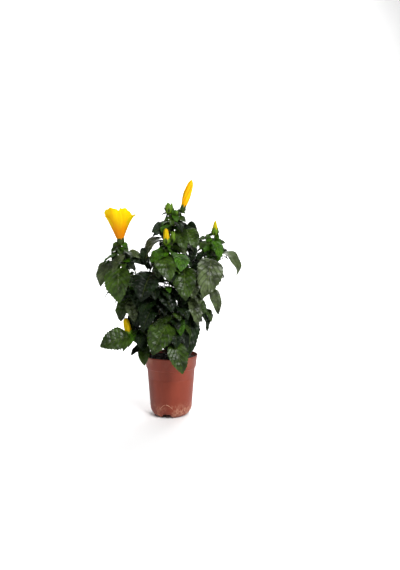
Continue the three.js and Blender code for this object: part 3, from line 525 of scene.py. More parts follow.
def stem_path(bough, end):
    way = path_way(bough, 1)
    start = path_point(bough, 1) + way * CLEARANCE
    bend = start + way * STEM_FOLLOW * math.dist(start, end)
    return start, bend, np.asarray(end, float)


def twig_path(start, way, length):
    end = start + way * length
    end[2] += length * STALK_ARCH
    return start, start + way * length / 2, end


def draws_from(seed):
    """Numbers between two limits, in one seeded stream."""
    state = seed * 104729

    def draw(limits):
        nonlocal state
        state = state * 16807 % 2147483647
        return mix(limits[0], limits[1], state / 2147483647)

    return draw


# Leaves of the growth rule


class Leaf:
    """Where one leaf stands: stalk root, blade foot and tip, and how the blade lies."""

    def __init__(self, root, foot, tip, face, broad, bend=LEAF_BEND):
        self.root, self.foot, self.tip = np.array((root, foot, tip), float)
        self.broad = broad
        self.tint = None
        chord = self.tip - self.foot
        self.length = math.sqrt(chord @ chord)
        self.chord = chord / self.length
        self.side = unit(np.cross(face, self.chord))
        self.normal = np.cross(self.chord, self.side)
        self.half = math.radians(bend) / 2
        self.radius = self.length / (2 * math.sin(self.half))

    def spread(self, along, across, height):
        """Places on the blade: along from 0 at the foot to 1, across in half widths."""
        along = np.asarray(along, float)[:, None]
        reach = np.asarray(across, float)[:, None] * self.broad * self.length / 2
        turn = self.half * (2 * along - 1)
        run = self.radius * (np.sin(turn) + math.sin(self.half))
        rise = self.radius * (np.cos(turn) - math.cos(self.half))
        up = self.normal * np.cos(turn) + self.chord * np.sin(turn)
        lift = np.abs(reach) * LEAF_FOLD + np.asarray(height, float)[:, None]
        return self.foot + self.chord * run + self.normal * rise + self.side * reach + up * lift

    def outlined(self):
        """The few places that stand for the blade where room is looked for."""
        return self.spread(PROXY_ALONG, PROXY_ACROSS, PROXY_ALONG * 0)

    def is_in(self, places):
        """Whether the blade's middle is seen in one of these places."""
        return are_seen_in(((self.foot + self.tip) / 2)[None], places)


def outline(along):
    """The blade's half width along it: broad near the foot and drawn out at the tip."""
    widest = FOOT_POWER / (FOOT_POWER + TIP_POWER)
    full = widest**FOOT_POWER * (1 - widest) ** TIP_POWER
    return along**FOOT_POWER * (1 - along) ** TIP_POWER / full


PROXY_ALONG = np.repeat((0.02, 0.2, 0.45, 0.7, 0.98), 3)
PROXY_ACROSS = np.tile((-1, 0, 1), 5) * outline(PROXY_ALONG)
PROXY_FACES = [
    (row * 3 + column, row * 3 + column + 1, row * 3 + column + 4, row * 3 + column + 3)
    for row in range(4) for column in range(2)
]


class Standing:
    """What already stands, so that finer leaves keep clear of it."""

    def __init__(self):
        self.kept = []

    def add(self, points, faces):
        points = np.asarray(points, float)
        tree = BVHTree.FromPolygons([tuple(p) for p in points], faces)
        self.kept.append((points.min(0), points.max(0), tree))

    def add_node(self, node):
        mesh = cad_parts[node].data
        points = [np.array(v.co) / MM for v in mesh.vertices]
        self.add(points, [tuple(p.vertices) for p in mesh.polygons])

    def add_leaf(self, leaf):
        self.add(leaf.outlined(), PROXY_FACES)

    def is_clear(self, leaf):
        points = leaf.outlined()
        low, high = points.min(0), points.max(0)
        near = [t for a, b, t in self.kept if (low < b).all() and (a < high).all()]
        if not near:
            return True
        blade = BVHTree.FromPolygons([tuple(p) for p in points], PROXY_FACES)
        return not any(blade.overlap(tree) for tree in near)


def are_seen_in(points, places):
    """Whether any of these points is seen from the camera in one of these places."""
    share = -VIEWPOINT[1] / (points[:, 1] - VIEWPOINT[1])
    across, _, height = (VIEWPOINT + (points - VIEWPOINT) * share[:, None]).T
    return any((np.hypot(across - x, height - z) < radius).any() for x, z, radius in places)


def keeps_to_space(shoot, leaf):
    points = leaf.outlined()[3:]
    middle, half = np.array(shoot[5:], float)
    if (np.abs((points - middle) / half) ** 3).sum(1).max() > 1:
        return False
    return not are_seen_in(points, OPEN_PLACES)


def hides_young(leaf):
    in_front = leaf.foot[1] + leaf.tip[1] < 0
    return leaf.length > LARGEST_YOUNG and in_front and leaf.is_in(YOUNG_PLACES)


def nearest_root(paths, foot, lift):
    """The place on these stems that a blade's stalk comes from: near, and a little lower."""
    places = [path_point(path, i / ROOT_PLACES) for path in paths for i in range(1, ROOT_PLACES)]
    return min(places, key=lambda p: math.dist(p, foot) + max(p[2] - foot[2] + lift, 0))


def leaf_tint(draw, share):
    """Young leaves near the ends are brighter, and old ones are deep green or greyish."""
    lot = draw((0, 1))
    if share > YOUNG_FROM:
        return "bright" if lot < YOUNG_BRIGHT else "mid"
    return "deep" if lot < OLD_DEEP else "mid" if lot < OLD_MID else "grey"


def leaf_tries(draw, root, share, compass, size):
    """The leaf at a place of a stem, and the same leaf turned and shortened step by step."""
    young = mix(1, SMALLEST_LEAF, share**3)
    stalk = draw(LEAF_STALKS) * young
    rise = draw(STALK_PITCH)
    pitch = draw(BLADE_PITCH) * young
    length = size * young * draw(LENGTH_PLAY)
    face = draw(FACE_PITCH)
    broad = draw(LEAF_WIDTHS)
    for j, turn in enumerate(TURNS):
        way = compass + turn
        foot = root + direction(way, rise) * stalk
        tip = foot + direction(way, pitch) * length * (1 - SHRINK * j)
        yield Leaf(root, foot, tip, direction(way, face), broad)


class Shrub:
    """The whole plant as paths and leaves, worked out once and shared by the operators."""

    def __init__(self):
        self.boughs = {name: bough_path(start, tip) for name, (start, tip, _) in BOUGHS.items()}
        self.stems = {name: stem_path(self.boughs[row[0]], row[1]) for name, row in SHOOTS.items()}
        self.axes = {name: [(stem, *STEM_RADII)] for name, stem in self.stems.items()}
        self.draws = {name: draws_from(row[4]) for name, row in SHOOTS.items()}
        self.phases = {name: draw((0, 360)) for name, draw in self.draws.items()}
        self.trees = {name: vertex_tree(name) for name in SHOOTS}
        self.leaves = []
        self.standing = Standing()
        for node in ("pot", "soil", "trunk", "open_flower", "furled_flower", *BOUGHS):
            self.standing.add_node(node)
        self.bud_stalks = [
            stalk_path(path_point(self.stems[name], BUD_START), foot) for name, foot, *_ in BUDS
        ]
        self.flower_stalks = [
            self.flower_stalk("foliage_left_top", OPEN_FOOT, OPEN_TIP),
            self.flower_stalk("foliage_top", FURLED_FOOT, FURLED_TIP),
        ]
        for name in SHOOTS:
            self.grow_twig(name)
        self.grow_given_leaves(PLACED_LEAVES, [], STALK_LIFT)
        for name in SHOOTS:
            for axis, count in zip(list(self.axes[name]), (SHOOTS[name][2], TWIG_LEAVES)):
                self.grow_rule_leaves(name, axis[0], count)
        self.grow_given_leaves(YOUNG_LEAVES, self.bud_stalks + self.flower_stalks, YOUNG_STALK_LIFT)
        for name, path in self.stems.items():
            seed, phase = SHOOTS[name][4] + 3 * FINE_SEED, self.phases[name] + GOLDEN_ANGLE / 2
            self.grow_small_leaves(path, seed, phase, *TUFT)
        for i, path in enumerate(self.bud_stalks + self.flower_stalks):
            self.grow_small_leaves(path, 4 * FINE_SEED + i, i * COLLAR_TURN, *COLLAR)
        for name in SHOOTS:
            self.grow_finer(name)

    def flower_stalk(self, name, foot, tip):
        stem = self.stems[name]
        start, way = path_point(stem, 1), path_way(stem, 1)
        end = np.asarray(foot, float) + unit(np.subtract(tip, foot)) * STEM_TIP_RADIUS
        return start, start + way * STEM_FOLLOW * math.dist(start, end), end

    def grow_twig(self, name):
        start = path_point(self.stems[name], TWIG_SHARE)
        way = direction(self.phases[name] + TWIG_TURN, self.draws[name](TWIG_PITCH))
        twig = twig_path(start, way, self.draws[name](TWIG_LENGTHS))
        self.axes[name].append((twig, *TWIG_RADII))

    def keep(self, leaf, tint):
        leaf.tint = tint
        self.leaves.append(leaf)
        self.standing.add_leaf(leaf)

    # Painted shade: a leaf seen in one of the shaded places of the crown gets the deep green.
    def keep_by_rule(self, leaf, tint):
        self.keep(leaf, "deep" if leaf.is_in(SHADED_PLACES) else tint)

    def grow_given_leaves(self, table, other_stalks, lift):
        """The leaves of a table, each on the nearest of its shoot's stems or the other stalks."""
        for name, rows in table:
            paths = [path for path, *_ in self.axes[name]] + other_stalks
            for foot, tip, compass, broad, tint, *bend in rows:
                root, face = nearest_root(paths, foot, lift), direction(compass, PLACED_FACE_PITCH)
                self.keep(Leaf(root, foot, tip, face, broad, *bend), tint)

    def grow_rule_leaves(self, name, path, count):
        """The leaves that the solids have too: each one whose tip is a corner of the solid."""
        draw, size = self.draws[name], SHOOTS[name][3]
        tint_draw = draws_from(SHOOTS[name][4] + 2 * FINE_SEED)
        for i in range(count):
            share = mix(FIRST_LEAF, 1, (i + STEP_PLACE) / count)
            compass = self.phases[name] + i * GOLDEN_ANGLE + draw(COMPASS_PLAY)
            for leaf in leaf_tries(draw, path_point(path, share), share, compass, size):
                if self.trees[name].find(Vector(leaf.tip) * MM)[2] < SAME_PLACE:
                    self.keep_by_rule(leaf, leaf_tint(tint_draw, share))
                    break

    def grow_small_leaves(self, path, seed, phase, count, shares, stalks, lengths):
        """Small young leaves along part of a stem or stalk, where there is room."""
        draw = draws_from(seed)
        for i in range(count):
            root = path_point(path, mix(*shares, i / (count - 1)))
            rise, stalk = draw(SMALL_LEAF_RISE), draw(stalks)
            pitch, length = draw(SMALL_LEAF_PITCH), draw(lengths)
            broad, roll = draw(SMALL_LEAF_WIDTHS), draw(SMALL_LEAF_ROLL)
            tint = "bright" if draw((0, 1)) < SMALL_BRIGHT_SHARE else "mid"
            for j, turn in enumerate(TURNS):
                way = phase + i * GOLDEN_ANGLE + turn
                foot = root + direction(way, rise) * stalk
                tip = foot + direction(way, pitch) * length * (1 - SHRINK * j)
                face = direction(way + roll, SMALL_LEAF_FACE)
                leaf = Leaf(root, foot, tip, face, broad, SMALL_LEAF_BEND)
                if self.standing.is_clear(leaf) and not are_seen_in(leaf.tip[None], OPEN_PLACES):
                    self.keep_by_rule(leaf, tint)
                    break

    def grow_finer(self, name):
        """Finer twigs and the leaves between, in the same space, where there is room."""
        shoot, stem, phase = SHOOTS[name], self.stems[name], self.phases[name]
        draw = draws_from(shoot[4] + FINE_SEED)
        rows = [(stem, FINE_STEM_LEAVES, phase + FINE_STEM_TURN, FINE_STEM_GROWTH)]
        for i in range(FINE_TWIGS):
            share = mix(*FINE_TWIG_SHARES, (i + 0.5) / FINE_TWIGS)
            compass = phase + FINE_TWIG_TURN + i * GOLDEN_ANGLE
            way = direction(compass, draw(FINE_TWIG_PITCH))
            length = draw(FINE_TWIG_LENGTHS) * mix(1, FINE_TWIG_TAPER, share)
            twig = twig_path(path_point(stem, share), way, length)
            rows.append((twig, FINE_TWIG_LEAVES, compass, FINE_TWIG_GROWTH))
        for path, count, turn, (first, large, young) in rows:
            leaves_before = len(self.leaves)
            for i in range(count):
                share = mix(first, 1, (i + STEP_PLACE) / count)
                compass = turn + i * GOLDEN_ANGLE + draw(COMPASS_PLAY)
                tint = leaf_tint(draw, share * young)
                root = path_point(path, share)
                for leaf in leaf_tries(draw, root, share, compass, shoot[3] * large):
                    if hides_young(leaf) or not keeps_to_space(shoot, leaf):
                        continue
                    if self.standing.is_clear(leaf):
                        self.keep_by_rule(leaf, tint)
                        break
            if path is not stem and len(self.leaves) > leaves_before:
                self.axes[name].append((path, *FINE_TWIG_RADII))


def vertex_tree(node):
    """The vertices of a node, to look for the nearest."""
    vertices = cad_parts[node].data.vertices
    tree = KDTree(len(vertices))
    for i, vertex in enumerate(vertices):
        tree.insert(vertex.co, i)
    tree.balance()
    return tree


GROWN = []


def grown_shrub():
    """The growth rule's result, worked out when it is first asked for."""
    if not GROWN:
        GROWN.append(Shrub())
    return GROWN[0]


# Materials


def maths(operation, flipped=False):
    """A method of Flow: one operation on it and other flows or numbers."""
    def method(self, *others):
        terms = (*others, self) if flipped else (self, *others)
        return self.paint.node("Math", {"operation": operation}, dict(enumerate(terms)))

    return method


class Flow:
    """A number, colour or vector on its way between the nodes of one material."""

    def __init__(self, paint, socket):
        self.paint = paint
        self.socket = socket

    __add__ = __radd__ = maths("ADD")
    __sub__ = maths("SUBTRACT")
    __rsub__ = maths("SUBTRACT", flipped=True)
    __mul__ = __rmul__ = maths("MULTIPLY")
    __truediv__ = maths("DIVIDE")
    __abs__ = maths("ABSOLUTE")
    fraction = maths("FRACT")
    most = maths("MAXIMUM")

    def rise(self, low, high):
        """0 up to low, 1 from high, and smooth between."""
        sockets = {"Value": self, "From Min": low, "From Max": high}
        return self.paint.node("MapRange", {"interpolation_type": "SMOOTHSTEP"}, sockets)

    def parts(self):
        return [self.paint.node("SeparateXYZ", {}, {0: self}, output=i) for i in range(3)]


class Paint:
    """One material: its nodes, and the Principled shader that they feed."""

    def __init__(self, name):
        self.material = bpy.data.materials.new(name)
        self.material.use_nodes = True
        self.shader = self.material.node_tree.nodes["Principled BSDF"]

    def node(self, kind, settings, sockets, output=0):
        node = self.material.node_tree.nodes.new("ShaderNode" + kind)
        for key, value in settings.items():
            setattr(node, key, value)
        for key, value in sockets.items():
            self.feed(node.inputs[key], value)
        return Flow(self, node.outputs[output])

    def feed(self, socket, value):
        if isinstance(value, Flow):
            self.material.node_tree.links.new(value.socket, socket)
        else:
            socket.default_value = value

    def place(self):
        return self.node("TexCoord", {}, {}, output="Object")

    def plan(self):
        return self.node("UVMap", {"uv_map": "plan"}, {})

    def grain(self, vector, scale, detail=3.0, roughness=0.55):
        sockets = {"Vector": vector, "Scale": scale, "Detail": detail, "Roughness": roughness}
        return self.node("TexNoise", {}, sockets)

    def stretched(self, vector, stretch):
        return self.node("Mapping", {}, {"Vector": vector, "Scale": stretch})

    def blend(self, low, high, share):
        return self.node("Mix", {"data_type": "RGBA"}, {0: share, 6: low, 7: high}, output=2)

    def bump(self, height, distance, strength=1.0):
        sockets = {"Height": height, "Distance": distance, "Strength": strength}
        return self.node("Bump", {}, sockets)

    def finish(self, **sockets):
        for key, value in sockets.items():
            self.feed(self.shader.inputs[key.replace("_", " ")], value)
        return self.material


def tone(red, green, blue):
    """A display colour from 0 to 255, as the shader's linear colour."""
    def linear(part):
        part /= 255
        return part / 12.92 if part <= 0.04045 else ((part + 0.055) / 1.055) ** 2.4

    return linear(red), linear(green), linear(blue), 1.0


def shade(colour, factor):
    return (*(min(part * factor, 1.0) for part in colour[:3]), 1.0)


def paler(colour, other):
    """A vein colour for this green: part of the way to the palest one."""
    return (*(mix(a, b, VEIN_PALENESS) for a, b in zip(colour[:3], other[:3])), 1.0)


def vein_lines(paint, side_edge, rib_edge):
    """Where a blade's veins run, and its midrib alone. Each line fades out over its edge."""
    across, along, _ = paint.plan().parts()
    reach = abs(across * 2 - 1)
    side_vein = abs(((along - reach * VEIN_SLANT) * VEINS + 0.5).fraction() - 0.5)
    rib = 1 - reach.rise(*rib_edge)
    return (1 - side_vein.rise(*side_edge)).most(rib), rib


def leaf_paint(name, colour, vein, gloss, shine):
    """A glossy blade: a paler midrib over a slightly mottled green, with painted shade in the furrows of
    the sunken side veins.
    """
    paint = Paint(name)
    veins, rib = vein_lines(paint, (0.0, 0.16), (0.015, 0.06))
    place = paint.place()
    mottle = paint.grain(place, 38)
    blisters = paint.grain(place, 140, 2)
    green = paint.blend(shade(colour, 0.45), shade(colour, 1.6), mottle.rise(0.34, 0.66))
    # Painted shade: the sunken side veins are darkened where shade would fall in their furrows.
    green = paint.blend(green, shade(colour, 0.35), (veins - rib).most(0.0) * 0.7)
    return paint.finish(
        Base_Color=paint.blend(green, vein, rib * 0.5),
        Roughness=gloss + mottle * 0.2,
        Normal=paint.bump(blisters * 0.6 - veins, 0.0011, 0.8),
        Specular_IOR_Level=shine,
    )


def underside_paint(colour):
    paint = Paint("leaf_underside")
    veins, _ = vein_lines(paint, (0.03, 0.1), (0.03, 0.09))
    mottle = paint.grain(paint.place(), 60)
    return paint.finish(
        Base_Color=paint.blend(colour, shade(colour, 1.6), veins * 0.5 + mottle * 0.25),
        Roughness=0.6,
        Normal=paint.bump(veins, 0.0005, 0.6),
        Specular_IOR_Level=0.25,
    )


def green_paint(name, colour, ripe):
    """Young stems, stalks, calyxes and bud scales."""
    paint = Paint(name)
    place = paint.place()
    streaks = paint.grain(paint.stretched(place, (1.0, 1.0, 0.2)), 420)
    blush = paint.grain(place, 40)
    colour = paint.blend(colour, ripe, blush.rise(0.4, 0.7))
    return paint.finish(
        Base_Color=paint.blend(colour, shade(ripe, 0.6), streaks.rise(0.5, 0.75) * 0.5),
        Roughness=0.42 + streaks * 0.2,
        Normal=paint.bump(streaks, 0.0003, 0.6),
        Specular_IOR_Level=0.25,
    )


def bark_paint(colour):
    """Grey-brown bark with fine upright cracks and small pale pores."""
    paint = Paint("bark")
    place = paint.place()
    cracks = paint.grain(paint.stretched(place, (1.0, 1.0, 0.16)), 520, 6, 0.7)
    patches = paint.grain(place, 70)
    settings = {"feature": "F1", "distance": "EUCLIDEAN"}
    pores = paint.node("TexVoronoi", settings, {"Vector": place, "Scale": 330.0})
    pore = 1 - pores.rise(0.12, 0.25)
    base = paint.blend(shade(colour, 0.55), shade(colour, 1.25), patches.rise(0.3, 0.7))
    base = paint.blend(base, shade(colour, 0.3), cracks.rise(0.52, 0.66) * 0.8)
    return paint.finish(
        Base_Color=paint.blend(base, shade(colour, 2.0), pore * 0.6),
        Roughness=0.8 + cracks * 0.15,
        Normal=paint.bump(pore * 0.5 - cracks.rise(0.45, 0.7), 0.0009, 0.9),
    )


def peat_paint():
    paint = Paint("potting_mix")
    place = paint.place()
    crumbs = paint.grain(place, 300, 8, 0.7)
    fibres = paint.grain(paint.stretched(place, (1.0, 0.15, 1.0)), 700)
    base = paint.blend(tone(20, 14, 10), tone(62, 46, 34), crumbs.rise(0.38, 0.7))
    return paint.finish(
        Base_Color=paint.blend(base, tone(104, 78, 56), fibres.rise(0.66, 0.76) * 0.6),
        Roughness=0.95,
        Normal=paint.bump(crumbs, 0.002, 0.9),
    )


def pot_paint(colour, scuff):
    """Moulded terracotta-coloured plastic, chalky low down, with a rubbed arc over each notch."""
    paint = Paint("terracotta_plastic")
    place = paint.place()
    x, y, z = place.parts()
    compass = paint.node("Math", {"operation": "ARCTAN2"}, {0: y, 1: x})
    start = math.radians(NOTCH_ANGLES[0] - 90)
    quarter = ((compass - start) / (math.pi / 2) + 4.5).fraction() - 0.5
    run = quarter * (math.pi / 2) * BODY_FOOT_RADIUS * MM
    wobble = paint.grain(place, 90)
    above = (RUBBED_ARC_HEIGHT * MM - run * run * (RUBBED_ARC_CURVE / MM)) - z + (wobble - 0.5) * 0.003
    arc = (1 - abs(above).rise(0.0004, 0.0013)) * (1 - abs(run).rise(0.013, 0.02))
    low = 1 - z.rise(0.004, 0.046)
    cloud = paint.grain(place, 26, 6, 0.65)
    scratch = paint.grain(paint.stretched(place, (1.0, 1.0, 0.5)), 200, 5, 0.65)
    chalk = cloud.rise(0.44, 0.6) * scratch.rise(0.36, 0.66) * low
    chalk = chalk.most(arc * scratch.rise(0.28, 0.55) * 0.9)
    rim_dust = z.rise(0.117, 0.149) * cloud.rise(0.45, 0.7) * 0.28
    stain = paint.grain(paint.stretched(place, (1.0, 1.0, 0.3)), 22, 4)
    base = paint.blend(shade(colour, 0.8), shade(colour, 1.14), stain.rise(0.3, 0.7))
    fine = paint.grain(place, 1500, 2)
    return paint.finish(
        Base_Color=paint.blend(base, scuff, chalk.most(rim_dust)),
        Roughness=0.46 + chalk * 0.35 + scratch * 0.1,
        Normal=paint.bump(fine + scratch * 0.6, 0.00025, 0.5),
        Specular_IOR_Level=0.3,
    )


def petal_paint(name, edge, throat, spiral):
    """Silky petal: clear yellow at the edge, orange towards the throat, with fine long veins."""
    paint = Paint(name)
    across, along, _ = paint.plan().parts()
    place = paint.place()
    fan = paint.grain(paint.stretched(paint.plan(), (34.0, 2.2, 1.0)), 1.0, 3)
    cloud = paint.grain(place, 60)
    warm = 1 - (along + (cloud - 0.5) * 0.25).rise(0.12, 1.02)
    if spiral:
        warm = (warm * 0.5).most((1 - across.rise(0.1, 0.8)) * 0.75).most(0.4)
    colour = paint.blend(edge, throat, warm * 0.9 + fan.rise(0.5, 0.75) * 0.2)
    return paint.finish(
        Base_Color=colour,
        Roughness=0.6 + fan * 0.15,
        Normal=paint.bump(fan, 0.0006, 0.7),
        Specular_IOR_Level=0.1,
        Subsurface_Weight=0.3,
        Subsurface_Scale=0.004,
    )


def pollen_paint(name, colour):
    paint = Paint(name)
    grains = paint.grain(paint.place(), 2500, 2)
    return paint.finish(
        Base_Color=paint.blend(shade(colour, 0.7), colour, grains.rise(0.35, 0.65)),
        Roughness=0.8,
        Normal=paint.bump(grains, 0.0003),
    )


def floor_paint(colour):
    paint = Paint("studio_floor")
    grain = paint.grain(paint.place(), 3)
    return paint.finish(
        Base_Color=paint.blend(colour, shade(colour, 0.985), grain), Roughness=0.9)


# Making meshes


def deselect():
    bpy.ops.object.select_all(action="DESELECT")


def activate(piece):
    deselect()
    piece.select_set(True)
    bpy.context.view_layer.objects.active = piece


@contextmanager
def editing(piece, chosen=None):
    """Edit mode with all selected, or only the vertices whose place is chosen."""
    activate(piece)
    bpy.ops.object.mode_set(mode="EDIT")
    bpy.ops.mesh.select_all(action="DESELECT" if chosen else "SELECT")
    if chosen:
        bpy.ops.object.mode_set(mode="OBJECT")
        for vertex in piece.data.vertices:
            vertex.select = chosen(vertex.co)
        bpy.ops.object.mode_set(mode="EDIT")
    yield
    bpy.ops.object.mode_set(mode="OBJECT")


def named(name):
    piece = bpy.context.object
    piece.name = piece.data.name = name
    return piece


def added(name, operator, **settings):
    """The piece that this operator adds to the scene."""
    deselect()
    operator(**settings)
    return named(name)


def applied(piece, kind, **settings):
    """Adds a modifier with these settings and applies it."""
    activate(piece)
    modifier = piece.modifiers.new(kind.lower(), kind)
    for key, value in settings.items():
        setattr(modifier, key, value)
    bpy.ops.object.modifier_apply(modifier=modifier.name)


def rounded(piece, width, segments, degrees):
    """Bevels the edges that are sharper than this, by a width in millimetres."""
    applied(piece, "BEVEL", width=width * MM, segments=segments, limit_method="ANGLE",
            angle_limit=math.radians(degrees))


def settled(piece):
    """Puts the piece's place into its mesh."""
    activate(piece)
    bpy.ops.object.transform_apply(location=True, rotation=True, scale=True)
    return piece


def smooth(piece, degrees):
    activate(piece)
    bpy.ops.object.shade_smooth_by_angle(angle=math.radians(degrees))


def finished(piece, materials, slot, *nodes):
    """Gives a piece its materials, sets it under the root body and hides the solids that it stands for. The
    slot is not used.
    """
    piece.data.materials.clear()
    for material in materials:
        piece.data.materials.append(material)
    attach(piece, "root")
    if nodes:
        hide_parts(*nodes)


def resize(*factors, centre=(0, 0, 0)):
    bpy.ops.transform.resize(value=factors, center_override=centre)


def ringed(name, profile, sides):
    """A turned form: one ring of edges, extruded and sized from point to point of a profile."""
    radius, height = profile[0]
    piece = added(name, bpy.ops.mesh.primitive_circle_add, vertices=sides, radius=radius * MM)
    with editing(piece):
        bpy.ops.transform.translate(value=(0, 0, height * MM))
        for wider, higher in profile[1:]:
            rise = (0, 0, (higher - height) * MM)
            bpy.ops.mesh.extrude_region_move(TRANSFORM_OT_translate={"value": rise})
            resize(wider / radius, wider / radius, 1, centre=(0, 0, higher * MM))
            radius, height = wider, higher
    return piece


def capped(piece):
    """Closes each open ring with a face."""
    with editing(piece):
        bpy.ops.mesh.select_all(action="DESELECT")
        bpy.ops.mesh.select_mode(type="EDGE")
        bpy.ops.mesh.select_non_manifold(extend=False)
        bpy.ops.mesh.edge_face_add()
        bpy.ops.mesh.select_all(action="SELECT")
        bpy.ops.mesh.normals_make_consistent(inside=False)
        bpy.ops.mesh.select_mode(type="VERT")


def values(parts, key, kind=np.int32, width=1):
    """One property of a mesh's vertices, loops or faces, as an array."""
    array = np.empty(len(parts) * width, kind)
    parts.foreach_get(key, array)
    return array.reshape(-1, width) if width > 1 else array


def coordinates(piece):
    return values(piece.data.vertices, "co", float, 3)


def reshape(piece, places):
    piece.data.vertices.foreach_set("co", np.asarray(places, float).ravel())
    piece.data.update()


def joined(pieces, name):
    deselect()
    for piece in pieces:
        piece.select_set(True)
    bpy.context.view_layer.objects.active = pieces[0]
    bpy.ops.object.join()
    return named(name)


def linked(name, data):
    piece = bpy.data.objects.new(name, data)
    bpy.context.scene.collection.objects.link(piece)
    return piece


class Pattern:
    """One modelled small thing as arrays, from which many are joined."""

    def __init__(self, piece):
        mesh = piece.data
        self.places = coordinates(piece)
        self.corners = values(mesh.loops, "vertex_index")
        self.starts = values(mesh.polygons, "loop_start")
        self.looks = values(mesh.polygons, "material_index")
        self.plan = values(mesh.uv_layers[0].data, "uv", float, 2)
        bpy.data.objects.remove(piece)


def gathered(name, copies):
    """One mesh of many copies, each a pattern with its own places. A second map gives each copy
    a cell of its own, with its two sides next to each other."""
    places = np.concatenate([own for _, own in copies])
    looks = np.concatenate([pattern.looks for pattern, _ in copies])
    plans = [pattern.plan for pattern, _ in copies]
    corners, starts, cells = [], [], []
    grid = math.ceil(math.sqrt(len(copies)))
    vertex = loop = 0
    for i, (pattern, own) in enumerate(copies):
        corners.append(pattern.corners + vertex)
        starts.append(pattern.starts + loop)
        counts = np.diff(np.append(pattern.starts, len(pattern.corners)))
        half = np.repeat(pattern.looks, counts)[:, None] * (0.5, 0)
        cell = pattern.plan * CELL_SIZE + half + CELL_MARGIN
        cells.append((cell + (i % grid, i // grid)) / grid)
        vertex += len(own)
        loop += len(pattern.corners)
    mesh = bpy.data.meshes.new(name)
    mesh.vertices.add(len(places))
    mesh.vertices.foreach_set("co", (places * MM).ravel())
    mesh.loops.add(loop)
    mesh.loops.foreach_set("vertex_index", np.concatenate(corners))
    mesh.polygons.add(len(looks))
    mesh.polygons.foreach_set("loop_start", np.concatenate(starts))
    mesh.polygons.foreach_set("material_index", looks)
    for title, rows in (("plan", plans), ("OFBake", cells)):
        layer = mesh.uv_layers.new(name=title, do_init=False)
        layer.data.foreach_set("uv", np.concatenate(rows).ravel())
    mesh.update(calc_edges=True)
    mesh.validate()
    return linked(name, mesh)


# Leaf forms


def grid_sheet(name, columns, rows):
    """A flat sheet, its places, and how far across (-1 to 1) and along (0 to 1) each one is."""
    piece = added(
        name, bpy.ops.mesh.primitive_grid_add, x_subdivisions=columns, y_subdivisions=rows, size=2)
    piece.data.uv_layers[0].name = "plan"
    places = coordinates(piece)
    return piece, places, places[:, 0].copy(), (places[:, 1] + 1) / 2


def leaf_pattern(columns, rows, depth):
    """A flat toothed blade 1 long and 2 wide, of two sheets that meet at the margin."""
    piece, places, across, along = grid_sheet("leaf_pattern", columns, rows)
    row = np.rint(along * rows).astype(int)
    margin = np.abs(across) > 0.99
    tooth = np.where(margin & (row % 2 == 1) & (row > 2), depth, 0)
    width = outline(np.clip(along, 0, 1)) * (1 - depth / 2)
    places[:, 0] = across * width * (1 + tooth)
    places[:, 1] = along + tooth * TOOTH_LEAN
    reshape(piece, places)
    with editing(piece):
        bpy.ops.mesh.duplicate_move()
        bpy.ops.mesh.flip_normals()
        bpy.ops.object.material_slot_add()
        bpy.ops.object.material_slot_add()
        piece.active_material_index = 1
        bpy.ops.object.material_slot_assign()
        bpy.ops.transform.translate(value=(0, 0, -1))
    places = coordinates(piece)
    inner = np.concatenate([~margin & (along > 0.001) & (along < 0.999)] * 2)
    places[:, 2] = np.where(inner, places[:, 2], 0)
    reshape(piece, places)
    with editing(piece):
        bpy.ops.mesh.remove_doubles(threshold=1e-5)
    return Pattern(piece)


def leaf_places(leaf, pattern, lot):
    """The blade's vertices: bent and folded along its frame, quilted between the veins, with a
    wavy margin and a slight twist that differ from leaf to leaf."""
    wide, along, side = pattern.places.T
    along = np.clip(along, 0, 1)
    full = np.maximum(outline(np.clip(along, 0.001, 0.999)), 0.05)
    reach = np.clip(np.abs(wide) / full, 0, 1)
    vein = (along - reach * VEIN_SLANT) * VEINS
    quilt = (0.5 - 0.5 * np.cos(2 * np.pi * vein)) * (1 - reach**4) * np.minimum(reach * 5, 1)
    quilt *= np.sin(np.pi * along) ** 0.5
    wave = np.sin(2 * np.pi * (lot[0] * along + lot[1])) * reach**2 * np.sin(np.pi * along)
    twist = (along - 0.3) * wide * lot[2]
    height = leaf.length * (QUILTING * quilt * lot[3] + WAVING * wave + TWISTING * twist)
    height += side * LEAF_THICKNESS * np.where(side < 0, 1, 0)
    return leaf.spread(along, wide * lot[4], height)


def stalk_curves(name, rows, roundness):
    """Tapering stalks as one curve object made a mesh. A row is a path and its two radii."""
    curve = bpy.data.curves.new(name, "CURVE")
    curve.dimensions = "3D"
    curve.bevel_depth = MM
    curve.bevel_resolution = roundness
    curve.resolution_u = 10
    curve.use_fill_caps = True
    for path, *radii in rows:
        start, bend, end = (Vector(place) * MM for place in path)
        spline = curve.splines.new("BEZIER")
        spline.bezier_points.add(1)
        for point, place, radius in zip(spline.bezier_points, (start, end), radii):
            point.handle_left_type = point.handle_right_type = "FREE"
            point.co = point.handle_left = point.handle_right = place
            point.radius = radius
        spline.bezier_points[0].handle_right = start.lerp(bend, 2 / 3)
        spline.bezier_points[1].handle_left = end.lerp(bend, 2 / 3)
    activate(linked(name, curve))
    bpy.ops.object.convert(target="MESH")
    return named(name)


def polar_plan(piece, repeats):
    """A map of a turned form: across counts round it, repeats times, and along runs up it."""
    mesh = piece.data
    corners = coordinates(piece)[values(mesh.loops, "vertex_index")]
    faces = values(mesh.polygons, "center", float, 3)
    faces = faces.repeat(values(mesh.polygons, "loop_total"), axis=0)
    middle = np.arctan2(faces[:, 1], faces[:, 0])
    turn = np.arctan2(corners[:, 1], corners[:, 0]) - middle
    turn = (turn + np.pi) % (2 * np.pi) - np.pi
    across = (middle * repeats / (2 * np.pi)) % 1 + turn * repeats / (2 * np.pi)
    low, high = corners[:, 2].min(), corners[:, 2].max()
    plan = np.stack((across, (corners[:, 2] - low) / (high - low)), 1)
    mesh.uv_layers.new(name="plan", do_init=False).data.foreach_set("uv", plan.ravel())


